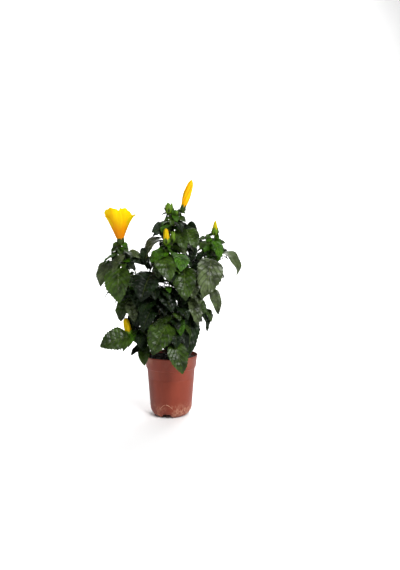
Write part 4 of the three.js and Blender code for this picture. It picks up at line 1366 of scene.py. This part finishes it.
def stood(piece, foot, tip):
    """Turns a piece made round the Z axis so that it stands on foot and points to tip."""
    piece.rotation_mode = "QUATERNION"
    line = Vector(tip) - Vector(foot)
    piece.rotation_quaternion = Vector((0, 0, 1)).rotation_difference(line)
    piece.location = Vector(foot) * MM
    return settled(piece)


# Buds and flowers

RIPE_SHARE = 0.7
BUD_RISE = (
    (0.5, 0), (0.78, 0.07), (0.96, 0.2), (1, 0.34), (0.95, 0.48), (0.83, 0.62), (0.65, 0.76),
    (0.44, 0.88), (0.22, 0.97), (0.06, 1),
)
RIPE_RISE = (
    (0.5, 0), (0.8, 0.08), (0.96, 0.2), (1, 0.36), (0.98, 0.52), (0.93, 0.66), (0.84, 0.79),
    (0.68, 0.89), (0.44, 0.96), (0.14, 1),
)
CUP_RISE = (
    (0.3, 0), (0.66, 0.03), (0.9, 0.14), (1, 0.3), (1.02, 0.5), (1.0, 0.7), (0.96, 0.86), (0.9, 1),
)
FURLED_RISE = (
    (0.5, 0), (0.6, 0.06), (0.74, 0.14), (0.9, 0.24), (0.98, 0.34), (1, 0.46), (0.99, 0.56),
    (0.94, 0.66), (0.85, 0.76), (0.72, 0.85), (0.52, 0.92), (0.3, 0.97), (0.12, 1),
)


def sized(rise, radius, length):
    return [(out * radius, share * length) for out, share in rise]


def polar(piece, length):
    """A turned piece's places, the angle of each round it, and its share of the way up."""
    places = coordinates(piece)
    return places, np.arctan2(places[:, 1], places[:, 0]), places[:, 2] / (length * MM)


def folded_spindle(name, rise, radius, length, twist, depth):
    """Petals rolled round each other: five overlapping folds that wind up a spindle."""
    piece = ringed(name, sized(rise, radius, length), PETALS * FOLD_SIDES)
    capped(piece)
    polar_plan(piece, PETALS)
    places, angle, share = polar(piece, length)
    fold = (angle * PETALS / (2 * np.pi) + 1e-4) % 1
    wide = 1 + depth * (fold**0.6 - 0.6) + 0.03 * np.sin(5 * np.pi * share)
    turn = angle + math.radians(twist) * share
    out = np.hypot(places[:, 0], places[:, 1]) * wide
    places[:, 0], places[:, 1] = out * np.cos(turn), out * np.sin(turn)
    reshape(piece, places)
    smooth(piece, 55)
    return piece


def calyx_cup(radius, length, lobe):
    """A green cup whose rim is five pointed lobes."""
    piece = ringed("cup", sized(CUP_RISE, radius, length), PETALS * FOLD_SIDES)
    places, angle, share = polar(piece, length)
    point = np.abs((angle * PETALS / (2 * np.pi)) % 1 - 0.5) * 2
    places[:, 2] *= 1 - lobe * point**1.2 * share**2
    swell = 1 + 0.06 * np.cos(PETALS * angle) * share + 0.16 * share**5 * (1 - point)
    places[:, :2] *= swell[:, None]
    reshape(piece, places)
    applied(piece, "SOLIDIFY", thickness=CUP_THICKNESS * MM, offset=-1)
    smooth(piece, 50)
    return piece


def bracts_at(foot, tip, radius, length, lot):
    """A ring of narrow pointed scales below a calyx."""
    axis = unit(np.subtract(tip, foot))
    turn = Vector((0, 0, 1)).rotation_difference(Vector(axis))
    leaves = []
    for i in range(SCALES):
        way = np.array(turn @ Vector(direction(lot * SCALE_TURN + i * 360 / SCALES, 0)))
        start = np.asarray(foot, float) + way * radius * SCALE_FOOT + axis * SCALE_LIFT
        high = SCALE_RISE + SCALE_PLAY * math.sin(i * 2.4 + lot)
        end = start + way * length * SCALE_SPREAD + axis * length * high
        leaves.append(Leaf(start, start, end, axis - way, SCALE_BROAD, SCALE_BEND))
    return leaves


def petal_sheet(compass, spread, droop, tilt, lot):
    """One petal of the open funnel: one edge over its neighbour, one under, and a ruffled rim.
    At the rim it leans out by spread and hangs lower by droop, in millimetres."""
    piece, _, across, along = grid_sheet("petal", *PETAL_GRID)
    up = along * (1 - 0.24 * np.abs(across) ** 2.6 * along)

    def ruffle(height, power, waves, start):
        return height * up**power * np.sin(2 * np.pi * (waves * across + start * lot))

    span = math.radians(180 / PETALS) * (1.2 + 0.32 * np.sin(np.pi * np.minimum(up, 0.9)))
    angle = math.radians(compass) + across * span
    flare = COROLLA_FLARE + COROLLA_LEAN * np.sin(angle)
    out = COROLLA_TUBE_RADIUS + (COROLLA_RADIUS - COROLLA_TUBE_RADIUS) * up**flare
    out *= 1 + 0.035 * across
    out += COROLLA_SIDE * up**2 * np.maximum(-np.sin(angle), 0)
    out += ruffle(1.6, 3, 1.1, 1)
    out += ruffle(0.8, 5, 2.7, 2.3)
    out -= 0.5 * np.cos(12 * across) * up**2
    out += spread * up**4 * (1 - across**2)
    high = CALYX_LENGTH * CALYX_HOLD + COROLLA_LENGTH * up - (droop + tilt * across) * up**4
    high += ruffle(1.4, 6, 1.9, 1.7) + 2.2 * up**4
    reshape(piece, np.stack((out * np.sin(angle), -out * np.cos(angle), high), 1) * MM)
    applied(piece, "SOLIDIFY", thickness=PETAL_THICKNESS * MM, offset=0)
    return piece


def blossom_column():
    """The long column in the middle of the open flower, with its stigma pads."""
    column = ringed("column", COLUMN_PROFILE, COLUMN_SIDES)
    capped(column)
    pieces = [column]
    for i in range(PETALS):
        turn = math.radians(i * 360 / PETALS)
        side = Vector((math.cos(turn), math.sin(turn), 0))
        start, end = (Vector((0, 0, height)) for height in STYLE_HEIGHTS)
        end += side * STYLE_REACH
        bend = start.lerp(end, 0.5) + Vector((0, 0, STYLE_ARCH))
        pieces.append(stalk_curves("style", [((start, bend, end), *STYLE_RADII)], 1))
        pad = added("pad", bpy.ops.mesh.primitive_uv_sphere_add,
                    segments=10, ring_count=6, radius=PAD_RADIUS * MM, location=end * MM)
        pad.scale.z = PAD_FLATNESS
        pieces.append(settled(pad))
    column = joined(pieces, "blossom_column")
    smooth(column, 60)
    return column


def anther_crowd():
    """Anthers on short threads all round the upper half of the column."""
    pattern = Pattern(
        added("anther", bpy.ops.mesh.primitive_ico_sphere_add, subdivisions=1, radius=1))
    copies, rows = [], []
    draw = draws_from(ANTHER_SEED)
    for i in range(ANTHERS):
        start = np.array((0, 0, mix(*ANTHER_HEIGHTS, i / ANTHERS)))
        way = direction(i * GOLDEN_ANGLE, ANTHER_RISE)
        end = start + way * (THREAD_START + draw(ANTHER_REACH))
        rows.append(((start, (start + end) / 2, end), *THREAD_RADII))
        size = np.array(ANTHER_SHAPE) * draw(ANTHER_SIZES)
        copies.append((pattern, pattern.places * size + end))
    threads = stalk_curves("threads", rows, 0)
    threads.data.uv_layers.new(name="plan")
    return gathered("anthers", copies), threads


# Settings that a user would change


def length_setting(name, description, default):
    return bpy.props.FloatProperty(
        name=name, description=description, default=default, min=0.0, max=10.0,
        unit="LENGTH", subtype="DISTANCE")


def colour_setting(name, description, default):
    return bpy.props.FloatVectorProperty(
        name=name, description=description, default=default, size=4, min=0.0, max=1.0,
        subtype="COLOR")


class PotSettings(bpy.types.PropertyGroup):
    """Sizes and colours of the pot and its filling."""

    height: length_setting("Height", "Height of the pot", POT_HIGH.z)
    rim_radius: length_setting("Rim radius", "Radius of the pot's rim", POT_HIGH.x)
    wall: length_setting("Wall", "Thickness of the pot's wall", 1.5 * MM)
    sides: bpy.props.IntProperty(
        name="Sides", description="Faces round the pot", default=128, min=24, max=512)
    colour: colour_setting("Plastic", "Colour of the moulded plastic", tone(123, 49, 30))
    scuff: colour_setting("Scuffs", "Colour of chalk and rubbed plastic", tone(190, 140, 114))
    crumbs: bpy.props.IntProperty(
        name="Crumbs", description="Loose crumbs on the potting mix", default=900, min=0, max=3000)


class LimbSettings(bpy.types.PropertyGroup):
    """Finish of the trunk, the boughs and the green stems."""

    voxel: length_setting("Grain", "Size of the faces that the limbs are fused to", 0.85 * MM)
    relief: length_setting("Relief", "Depth of the bark's cracks", 0.3 * MM)
    bark: colour_setting("Bark", "Colour of the woody limbs", tone(122, 108, 88))
    stem: colour_setting("Stem", "Colour of the young stems", tone(74, 92, 48))
    ripe: colour_setting("Ripe stem", "Colour where a stem turns woody", tone(104, 88, 62))


class LeafSettings(bpy.types.PropertyGroup):
    """Form and colours of the leaves."""

    tooth: bpy.props.FloatProperty(
        name="Teeth", description="Depth of the margin's teeth as a share of the half width",
        default=0.09, min=0.0, max=0.5, subtype="FACTOR")
    # Partly painted shade: besides the old leaves, this deep green goes to what grows by rule in the shaded
    # places, to darken the inside of the crown.
    deep: colour_setting("Deep green", "Old leaves inside the crown", tone(12, 27, 5))
    mid: colour_setting("Green", "Most outer leaves", tone(42, 62, 12))
    bright: colour_setting("Fresh green", "Young leaves at the ends", tone(44, 78, 4))
    # Partly painted sheen: this paler grey green stands in for the pale gloss on the listed leaves given
    # it; on leaves grown by rule it is a greyish tone drawn at random.
    grey: colour_setting("Grey green", "Leaves with a pale bloom", tone(62, 73, 43))
    vein: colour_setting("Veins", "Colour of the veins", tone(98, 110, 44))
    under: colour_setting("Underside", "Colour of the leaves' backs", tone(62, 77, 37))


class BlossomSettings(bpy.types.PropertyGroup):
    """Colours of the flowers and buds."""

    petal: colour_setting("Petal", "Colour at a petal's edge", tone(246, 208, 0))
    throat: colour_setting("Throat", "Colour towards a petal's foot", tone(220, 118, 4))
    bud_petal: colour_setting("Bud petal", "Colour low on a bud's petals", tone(164, 138, 8))
    young_petal: colour_setting("Young petal", "Colour low on a young bud", tone(96, 136, 14))
    pollen: colour_setting("Pollen", "Colour of the anthers", tone(236, 178, 20))
    calyx: colour_setting("Calyx", "Colour of the calyxes and scales", tone(44, 60, 4))
    bud: colour_setting("Bud", "Colour of the green part of a bud", tone(90, 120, 14))


class StudioSettings(bpy.types.PropertyGroup):
    """The floor, the light and the camera."""

    floor: colour_setting("Floor", "Colour of the floor", (0.9, 0.9, 0.9, 1.0))
    camera_place: bpy.props.FloatVectorProperty(
        name="Camera", description="Place of the camera", default=VIEWPOINT * MM,
        unit="LENGTH", subtype="TRANSLATION")
    camera_tilt: bpy.props.FloatProperty(
        name="Tilt", description="How far the camera looks down",
        default=math.radians(3.3), unit="ROTATION", subtype="ANGLE")
    camera_turn: bpy.props.FloatProperty(
        name="Turn", description="How far the camera looks to the right",
        default=math.radians(3.6), unit="ROTATION", subtype="ANGLE")
    lens: bpy.props.FloatProperty(
        name="Lens", description="Focal length for a 36 mm frame", default=29.34, min=5,
        unit="CAMERA")


# Operators


def pot_shell(pot):
    """The turned pot: from the floor inside the foot, up the outside and down the inside."""
    height, rim, wall = pot.height / MM, pot.rim_radius / MM, pot.wall / MM
    rim_foot = height - RIM_DEPTH

    def body(high):
        share = (high - FOOT_ROUND_HEIGHT) / (rim_foot - FOOT_ROUND_HEIGHT)
        return mix(BODY_FOOT_RADIUS, BODY_TOP_RADIUS, share)

    def foot_round(reach):
        angles = [i * math.pi / 2 / FOOT_ROUND_STEPS for i in range(FOOT_ROUND_STEPS)]
        swell = BODY_FOOT_RADIUS - FOOT_RADIUS
        return [(reach + swell * math.sin(a), FOOT_ROUND_HEIGHT * (1 - math.cos(a))) for a in angles]

    def steps(out, high, rows):
        return [(out + wider, high + higher) for wider, higher in rows]

    inner = [p for p in foot_round(FOOT_RADIUS - wall)[1:] if p[1] < FLOOR_HEIGHT - 1]
    profile = [
        (1, FLOOR_HEIGHT),
        (body(FLOOR_HEIGHT) - wall - 1, FLOOR_HEIGHT),
        *reversed(inner),
        (FOOT_RADIUS - FOOT_RING_WIDTH, 0),
        *foot_round(FOOT_RADIUS),
        (BODY_FOOT_RADIUS, FOOT_ROUND_HEIGHT),
        *steps(body(STACKING_LINE), STACKING_LINE, LINE_STEPS),
        (BODY_TOP_RADIUS, rim_foot - 1),
        *steps(RIM_FOOT_RADIUS, rim_foot, BAND_STEPS),
        *steps(rim, height, RIM_STEPS),
        (RIM_FOOT_RADIUS - wall, rim_foot + wall),
        (BODY_TOP_RADIUS - wall, rim_foot),
        (BODY_FOOT_RADIUS - wall, FOOT_ROUND_HEIGHT),
        (body(FLOOR_HEIGHT) - wall - 1, FLOOR_HEIGHT + wall),
        (1, FLOOR_HEIGHT + wall),
    ]
    piece = ringed("pot_shell", profile, pot.sides)
    capped(piece)
    return piece


def notch_cutter(compass):
    """A tapered block, wider below the foot, with its upper corners rounded."""
    piece = added("notch_cutter", bpy.ops.mesh.primitive_cube_add, size=1)
    spread = (NOTCH_FOOT_WIDTH - NOTCH_TOP_WIDTH) / NOTCH_HEIGHT
    wide = NOTCH_FOOT_WIDTH + NOTCH_BELOW * spread
    tall = NOTCH_HEIGHT + NOTCH_BELOW
    with editing(piece):
        resize(wide * MM, NOTCH_DEPTH * MM, tall * MM)
        bpy.ops.transform.translate(
            value=(0, -NOTCH_PLACE * MM, (tall / 2 - NOTCH_BELOW) * MM))
    with editing(piece, lambda place: place.z > 0):
        resize(NOTCH_TOP_WIDTH / wide, 1, 1)
    rounded(piece, NOTCH_ROUND, 4, 40)
    piece.rotation_euler.z = math.radians(compass)
    return settled(piece)


def drain_cutter(compass):
    spot = direction(compass, 0) * DRAIN_PLACE + (0, 0, FLOOR_HEIGHT)
    piece = added("drain_cutter", bpy.ops.mesh.primitive_cylinder_add, vertices=32,
                  radius=DRAIN_RADIUS * MM, depth=DRAIN_DEPTH * MM, location=spot * MM)
    return settled(piece)


class SHRUB_OT_pot(bpy.types.Operator):
    """Model the pot with its rim, foot notches and drain holes"""

    bl_idname = "shrub.pot"
    bl_label = "Pot"

    def execute(self, context):
        pot = context.scene.shrub_pot
        piece = pot_shell(pot)
        rounded(piece, SHELL_ROUND, 2, 24)
        for one, angles in ((notch_cutter, NOTCH_ANGLES), (drain_cutter, DRAIN_ANGLES)):
            cutter = joined([one(compass) for compass in angles], "cutter")
            applied(piece, "BOOLEAN", operation="DIFFERENCE", object=cutter, solver="EXACT")
            bpy.data.objects.remove(cutter)
        smooth(piece, 30)
        finished(piece, [pot_paint(pot.colour, pot.scuff)], "terracotta_plastic", "pot")
        return {"FINISHED"}


def soil_height(share):
    """Height of the potting mix, which is a little lower at the wall than in the middle."""
    return mix(SOIL_MIDDLE_HEIGHT, SOIL_EDGE_HEIGHT, share**2)


def peat_crumbs(count, edge):
    """Loose crumbs of all sizes that lie on the potting mix."""
    draw = draws_from(CRUMB_SEED)
    patterns = []
    for i in range(CRUMB_KINDS):
        lump = added("crumb", bpy.ops.mesh.primitive_ico_sphere_add, subdivisions=2, radius=1)
        places = coordinates(lump)
        for place in places:
            spot = Vector(place) * CRUMB_DETAIL + Vector((i * 7, 0, 0))
            place *= 1 + CRUMB_RELIEF * noise.fractal(spot, 1, 2, 3)
        reshape(lump, places)
        patterns.append(Pattern(lump))
    copies = []
    for i in range(count):
        out = (edge - CRUMB_MARGIN) * math.sqrt(draw((0.03, 1)))
        turn = draw((0, 2 * math.pi))
        size = mix(*CRUMB_SIZES, draw((0, 1)) ** 3)
        spin = draw((0, 2 * math.pi))
        stretch = np.array((1, draw(CRUMB_WIDTHS), draw(CRUMB_HEIGHTS))) * size
        pattern = patterns[i % CRUMB_KINDS]
        places = pattern.places * stretch
        cos, sin = math.cos(spin), math.sin(spin)
        places = places @ np.array(((cos, sin, 0), (-sin, cos, 0), (0, 0, 1)))
        high = soil_height(out / edge) + size * CRUMB_LIFT
        places += (out * math.cos(turn), out * math.sin(turn), high)
        copies.append((pattern, places))
    piece = gathered("peat_crumbs", copies)
    smooth(piece, 70)
    return piece


class SHRUB_OT_soil(bpy.types.Operator):
    """Fill the pot with crumbly potting mix"""

    bl_idname = "shrub.soil"
    bl_label = "Potting mix"

    def execute(self, context):
        low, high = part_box("soil")
        foot, edge = low.z / MM, high.x / MM
        rim_foot = context.scene.shrub_pot.height / MM - RIM_DEPTH
        top = [(radius, soil_height(radius / edge)) for radius in np.linspace(edge, 1, 30)]
        profile = [
            (1, foot),
            (BODY_FOOT_RADIUS - 4, foot),
            (BODY_FOOT_RADIUS - 2, FOOT_ROUND_HEIGHT),
            (BODY_TOP_RADIUS - 2, rim_foot + 1.5),
            (RIM_FOOT_RADIUS - 2.4, rim_foot + 3),
            *top,
        ]
        piece = ringed("potting_mix", profile, SOIL_SIDES)
        capped(piece)
        places = coordinates(piece)
        for place in places:
            if place[2] > (SOIL_EDGE_HEIGHT - 0.5) * MM:
                lump = noise.fractal(Vector(place) * SOIL_DETAIL, 0.6, 2.2, 5) * SOIL_LUMP
                out = math.hypot(place[0], place[1]) / MM
                lump += SOIL_MOUND * math.exp(-((out / SOIL_MOUND_RADIUS) ** 2))
                place[2] += (max(lump, SOIL_DIP) if out < edge - 1 else min(lump, 0)) * MM
        reshape(piece, places)
        smooth(piece, 60)
        paint = peat_paint()
        finished(piece, [paint], "potting_mix", "soil")
        crumbs = peat_crumbs(context.scene.shrub_pot.crumbs, edge)
        finished(crumbs, [paint], "potting_mix")
        return {"FINISHED"}


def trunk_form():
    """The trunk with the lobes of its flare, cut flat at the ground."""
    piece = stalk_curves("trunk", [(TRUNK_PATH, TRUNK_FOOT_RADIUS, TRUNK_TOP_RADIUS)], 8)
    applied(piece, "SUBSURF", subdivision_type="SIMPLE", levels=2, render_levels=2)
    places = coordinates(piece) / MM
    foot, top = TRUNK_PATH[0][2], TRUNK_PATH[2][2]
    share = np.clip((places[:, 2] - foot) / (top - foot), 0, 1)
    axis = np.array([path_point(TRUNK_PATH, s) for s in share])
    off = places[:, :2] - axis[:, :2]
    angle = np.arctan2(off[:, 1], off[:, 0])
    ridge = 1 + FLARE_RIDGE * np.cos(FLARE_LOBES * angle)
    flare = FLARE_RADIUS * np.exp(-FLARE_FADE * share) * ridge
    places[:, :2] = axis[:, :2] + off * (1 + flare / TRUNK_FOOT_RADIUS)[:, None]
    reshape(piece, places * MM)
    with editing(piece):
        bpy.ops.mesh.bisect(
            plane_co=(0, 0, GROUND * MM), plane_no=(0, 0, 1), clear_inner=True, use_fill=True)
    return piece


def roughen(piece, relief):
    """Upright cracks and soft knots on all that stands above the ground."""
    places = coordinates(piece)
    normals = values(piece.data.vertex_normals, "vector", float, 3)
    for place, normal in zip(places, normals):
        if place[2] > (GROUND + 0.5) * MM:
            spot = Vector((place[0], place[1], place[2] * CRACK_STRETCH)) * CRACK_SCALE
            crack = noise.ridged_multi_fractal(spot, 0.8, 2.1, 3, 1.0, 2.0)
            knot = noise.fractal(Vector(place) * KNOT_SCALE, 0.8, 2.0, 2)
            place += normal * relief * (knot * 1.4 - crack * 0.5 + 0.3)
    reshape(piece, places)


class SHRUB_OT_limbs(bpy.types.Operator):
    """Model the trunk and its boughs as one fused form with bark relief"""

    bl_idname = "shrub.limbs"
    bl_label = "Trunk and boughs"

    def execute(self, context):
        limbs = context.scene.shrub_limbs
        shrub = grown_shrub()
        rows = [
            (shrub.boughs[name], radius, BOUGH_TIP_RADIUS)
            for name, (_, _, radius) in BOUGHS.items()
        ]
        trunk = trunk_form()
        piece = joined([trunk, stalk_curves("boughs", rows, 4)], "trunk_and_boughs")
        applied(piece, "REMESH", mode="VOXEL", voxel_size=limbs.voxel)
        applied(piece, "SMOOTH", factor=0.5, iterations=5)
        roughen(piece, limbs.relief)
        smooth(piece, 80)
        finished(piece, [bark_paint(limbs.bark)], "bark", "trunk", *BOUGHS)
        return {"FINISHED"}


def model_stems(shrub, paint):
    """Stems, twigs and flower stalks. Each stem starts a little way inside its bough's tip."""
    rows = []
    for name in SHOOTS:
        (start, bend, end), *radii = shrub.axes[name][0]
        back = start - unit(bend - start) * STEM_OVERLAP
        rows.append(((back, bend, end), *radii))
        rows += shrub.axes[name][1:]
    rows += [(path, TWIG_RADIUS, TWIG_RADIUS) for path in shrub.bud_stalks]
    rows += [(path, STEM_TIP_RADIUS, TWIG_RADIUS) for path in shrub.flower_stalks]
    piece = stalk_curves("stems_and_twigs", rows, 2)
    smooth(piece, 60)
    finished(piece, [paint], "leaf_green", *SHOOTS)


class SHRUB_OT_shoots(bpy.types.Operator):
    """Grow the green stems, the finer twigs, the leaf stalks and the leaves"""

    bl_idname = "shrub.shoots"
    bl_label = "Shoots and leaves"

    def execute(self, context):
        limbs, look = context.scene.shrub_limbs, context.scene.shrub_leaves
        shrub = grown_shrub()
        model_stems(shrub, green_paint("green_stem", limbs.stem, limbs.ripe))
        stalk_rows = []
        for leaf in shrub.leaves:
            share = min(leaf.length / FULL_LEAF, 1)
            radii = [mix(*limits, share) for limits in STALK_RADII]
            stalk_rows.append((stalk_path(leaf.root, leaf.foot), *radii))
        stalks = stalk_curves("leaf_stalks", stalk_rows, 1)
        smooth(stalks, 60)
        finished(stalks, [green_paint("leaf_stalk", look.bright, limbs.stem)], "leaf_green")
        under = underside_paint(look.under)
        large, small = (leaf_pattern(*grid, look.tooth) for grid in (LARGE_GRID, SMALL_GRID))
        draw = draws_from(LEAF_SEED)
        copies = {tint: [] for tint in LEAF_GLOSS}
        for leaf in shrub.leaves:
            pattern = large if leaf.length > LARGE_LEAF else small
            lot = [draw(limits) for limits in LEAF_LOTS]
            copies[leaf.tint].append((pattern, leaf_places(leaf, pattern, lot)))
        for tint, gloss in LEAF_GLOSS.items():
            piece = gathered("leaves_" + tint, copies[tint])
            smooth(piece, 50)
            colour = getattr(look, tint)
            paints = [leaf_paint("leaf_" + tint, colour, paler(colour, look.vein), *gloss), under]
            finished(piece, paints, "leaf_green", *SHOOTS)
        return {"FINISHED"}


def bud_folds(rise, radius, length, kind, foot, tip):
    """The folded petals inside a bud, or its closed end."""
    wide, high, twist, depth = kind
    spindle = folded_spindle("folds", rise, radius * wide, length * high, twist, depth)
    return stood(spindle, foot, tip)


class SHRUB_OT_buds(bpy.types.Operator):
    """Model the buds, the calyxes and the ring of scales below each"""

    bl_idname = "shrub.buds"
    bl_label = "Buds and calyxes"

    def execute(self, context):
        look = context.scene.shrub_blossom
        leaves = context.scene.shrub_leaves
        ripe, young, cups, calyxes, scales = [], [], [], [], []
        for i, (_, foot, tip, radius, petal) in enumerate(BUDS):
            length = math.dist(foot, tip)
            rise, cores = (RIPE_RISE, ripe) if petal > RIPE_SHARE else (BUD_RISE, young)
            if petal:
                cores.append(bud_folds(rise, radius, length, BUD_CORE, foot, tip))
            cup = calyx_cup(radius, length * mix(*BUD_COVER, petal), BUD_LOBE)
            cups.append(stood(cup, foot, tip))
            if not petal:
                cups.append(bud_folds(rise, radius, length, BUD_PLUG, foot, tip))
            scales += bracts_at(foot, tip, radius, BUD_SCALE + radius, i)
        flowers = (OPEN_FOOT, OPEN_TIP, OPEN_CALYX), (FURLED_FOOT, FURLED_TIP, FURLED_CALYX)
        for i, (foot, tip, radius) in enumerate(flowers):
            cup = calyx_cup(radius, CALYX_LENGTH, CALYX_LOBE)
            calyxes.append(stood(cup, foot, tip))
            scales += bracts_at(foot, tip, radius, FLOWER_SCALE, i + 3)
        for name, cores, foot_colour in (
            ("bud_petals", ripe, look.bud_petal), ("young_petals", young, look.young_petal),
        ):
            paint = petal_paint(name, shade(look.petal, 0.74), foot_colour, True)
            finished(joined(cores, name), [paint], "petal_yellow")
        green = green_paint("calyx_green", look.calyx, leaves.mid)
        finished(joined(calyxes, "calyxes"), [green], "leaf_green")
        fresh = green_paint("bud_green", look.bud, shade(leaves.bright, 1.5))
        finished(joined(cups, "bud_cups"), [fresh], "leaf_green")
        pattern = leaf_pattern(*SCALE_GRID, 0.0)
        copies = [(pattern, leaf_places(scale, pattern, PLAIN_LOT)) for scale in scales]
        piece = gathered("scales", copies)
        smooth(piece, 50)
        finished(piece, [green, green], "leaf_green")
        return {"FINISHED"}


class SHRUB_OT_open_flower(bpy.types.Operator):
    """Model the open flower: five overlapping petals round a column of anthers"""

    bl_idname = "shrub.open_flower"
    bl_label = "Open flower"

    def execute(self, context):
        look = context.scene.shrub_blossom
        sheets = [petal_sheet(*row, i * PETAL_LOT) for i, row in enumerate(PETAL_ROWS)]
        petals = stood(joined(sheets, "open_petals"), OPEN_FOOT, OPEN_TIP)
        smooth(petals, 50)
        paint = petal_paint("petal_open", look.petal, look.throat, False)
        finished(petals, [paint], "petal_yellow", "open_flower")
        column = stood(blossom_column(), OPEN_FOOT, OPEN_TIP)
        finished(column, [pollen_paint("column_yellow", look.petal)], "petal_yellow")
        crowd, threads = anther_crowd()
        pollen = pollen_paint("pollen", look.pollen)
        anthers = stood(joined([crowd, threads], "anthers"), OPEN_FOOT, OPEN_TIP)
        smooth(anthers, 70)
        finished(anthers, [pollen], "petal_yellow")
        return {"FINISHED"}


class SHRUB_OT_furled_flower(bpy.types.Operator):
    """Model the furled flower: petals wound into a slim spindle"""

    bl_idname = "shrub.furled_flower"
    bl_label = "Furled flower"

    def execute(self, context):
        look = context.scene.shrub_blossom
        foot = np.asarray(FURLED_FOOT, float)
        axis = unit(np.subtract(FURLED_TIP, FURLED_FOOT))
        start = foot + axis * CALYX_LENGTH * CALYX_HOLD
        length = math.dist(start, FURLED_TIP)
        spindle = folded_spindle("furled_petals", FURLED_RISE, FURLED_RADIUS * FURLED_SWELL,
                                 length, FURLED_TWIST, FURLED_DEPTH)
        piece = stood(spindle, start, FURLED_TIP)
        paint = petal_paint("petal_furled", look.petal, look.throat, True)
        finished(piece, [paint], "petal_yellow", "furled_flower")
        return {"FINISHED"}


def add_floor(studio):
    """A floor that sweeps up behind the plant."""
    piece = added("studio_sweep", bpy.ops.mesh.primitive_plane_add, size=SWEEP_SIZE)
    with editing(piece, lambda place: place.y > 0):
        rise = (0, 0, SWEEP_HEIGHT)
        bpy.ops.mesh.extrude_region_move(TRANSFORM_OT_translate={"value": rise})
    rounded(piece, SWEEP_ROUND / MM, 16, 40)
    smooth(piece, 40)
    piece.data.materials.append(floor_paint(studio.floor))
    piece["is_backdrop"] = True


class SHRUB_OT_studio(bpy.types.Operator):
    """Set up the pale floor, the soft lights and the camera"""

    bl_idname = "shrub.studio"
    bl_label = "Studio"

    def execute(self, context):
        studio = context.scene.shrub_studio
        add_floor(studio)
        for name, (place, size, power, target) in LIGHTS.items():
            light = added(name, bpy.ops.object.light_add, type="AREA", location=place)
            light.data.size = size
            light.data.energy = power
            aim = Vector(target) - Vector(place)
            light.rotation_euler = aim.to_track_quat("-Z", "Y").to_euler()
        world = bpy.data.worlds.new("studio_air")
        world.use_nodes = True
        air = world.node_tree.nodes["Background"]
        air.inputs["Color"].default_value = (1, 1, 1, 1)
        air.inputs["Strength"].default_value = AIR_STRENGTH
        context.scene.world = world
        context.scene.view_settings.view_transform = "Standard"
        camera = added("photo_camera", bpy.ops.object.camera_add, location=studio.camera_place)
        camera.rotation_euler = (math.pi / 2 - studio.camera_tilt, 0, -studio.camera_turn)
        camera.data.sensor_width = FRAME_WIDTH
        camera.data.lens = studio.lens
        context.scene.camera = camera
        return {"FINISHED"}


OPERATORS = (
    SHRUB_OT_pot, SHRUB_OT_soil, SHRUB_OT_limbs, SHRUB_OT_shoots, SHRUB_OT_buds,
    SHRUB_OT_open_flower, SHRUB_OT_furled_flower, SHRUB_OT_studio,
)
SETTINGS = {
    "shrub_pot": PotSettings, "shrub_limbs": LimbSettings, "shrub_leaves": LeafSettings,
    "shrub_blossom": BlossomSettings, "shrub_studio": StudioSettings,
}


class SHRUB_PT_panel(bpy.types.Panel):
    """The settings and the buttons of the potted shrub"""

    bl_idname = "SHRUB_PT_panel"
    bl_label = "Potted hibiscus"
    bl_space_type = "VIEW_3D"
    bl_region_type = "UI"
    bl_category = "Shrub"

    def draw(self, context):
        for key, group in SETTINGS.items():
            box = self.layout.box()
            box.label(text=group.__doc__)
            for setting in group.__annotations__:
                box.prop(getattr(context.scene, key), setting)
        for operator in OPERATORS:
            self.layout.operator(operator.bl_idname)


def register():
    for group in SETTINGS.values():
        bpy.utils.register_class(group)
    for operator in OPERATORS:
        bpy.utils.register_class(operator)
    bpy.utils.register_class(SHRUB_PT_panel)
    for key, group in SETTINGS.items():
        setattr(bpy.types.Scene, key, bpy.props.PointerProperty(type=group))


def unregister():
    for key in SETTINGS:
        delattr(bpy.types.Scene, key)
    bpy.utils.unregister_class(SHRUB_PT_panel)
    for group in (*OPERATORS, *SETTINGS.values()):
        bpy.utils.unregister_class(group)


def main():
    register()
    bpy.ops.shrub.pot()
    bpy.ops.shrub.soil()
    bpy.ops.shrub.limbs()
    bpy.ops.shrub.shoots()
    bpy.ops.shrub.buds()
    bpy.ops.shrub.open_flower()
    bpy.ops.shrub.furled_flower()
    bpy.ops.shrub.studio()
    boxes = {"cad": CAD_BOX, "visual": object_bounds()}
    {k: [list(corner) for corner in v] for k, v in boxes.items()}


if __name__ == "__main__":
    main()
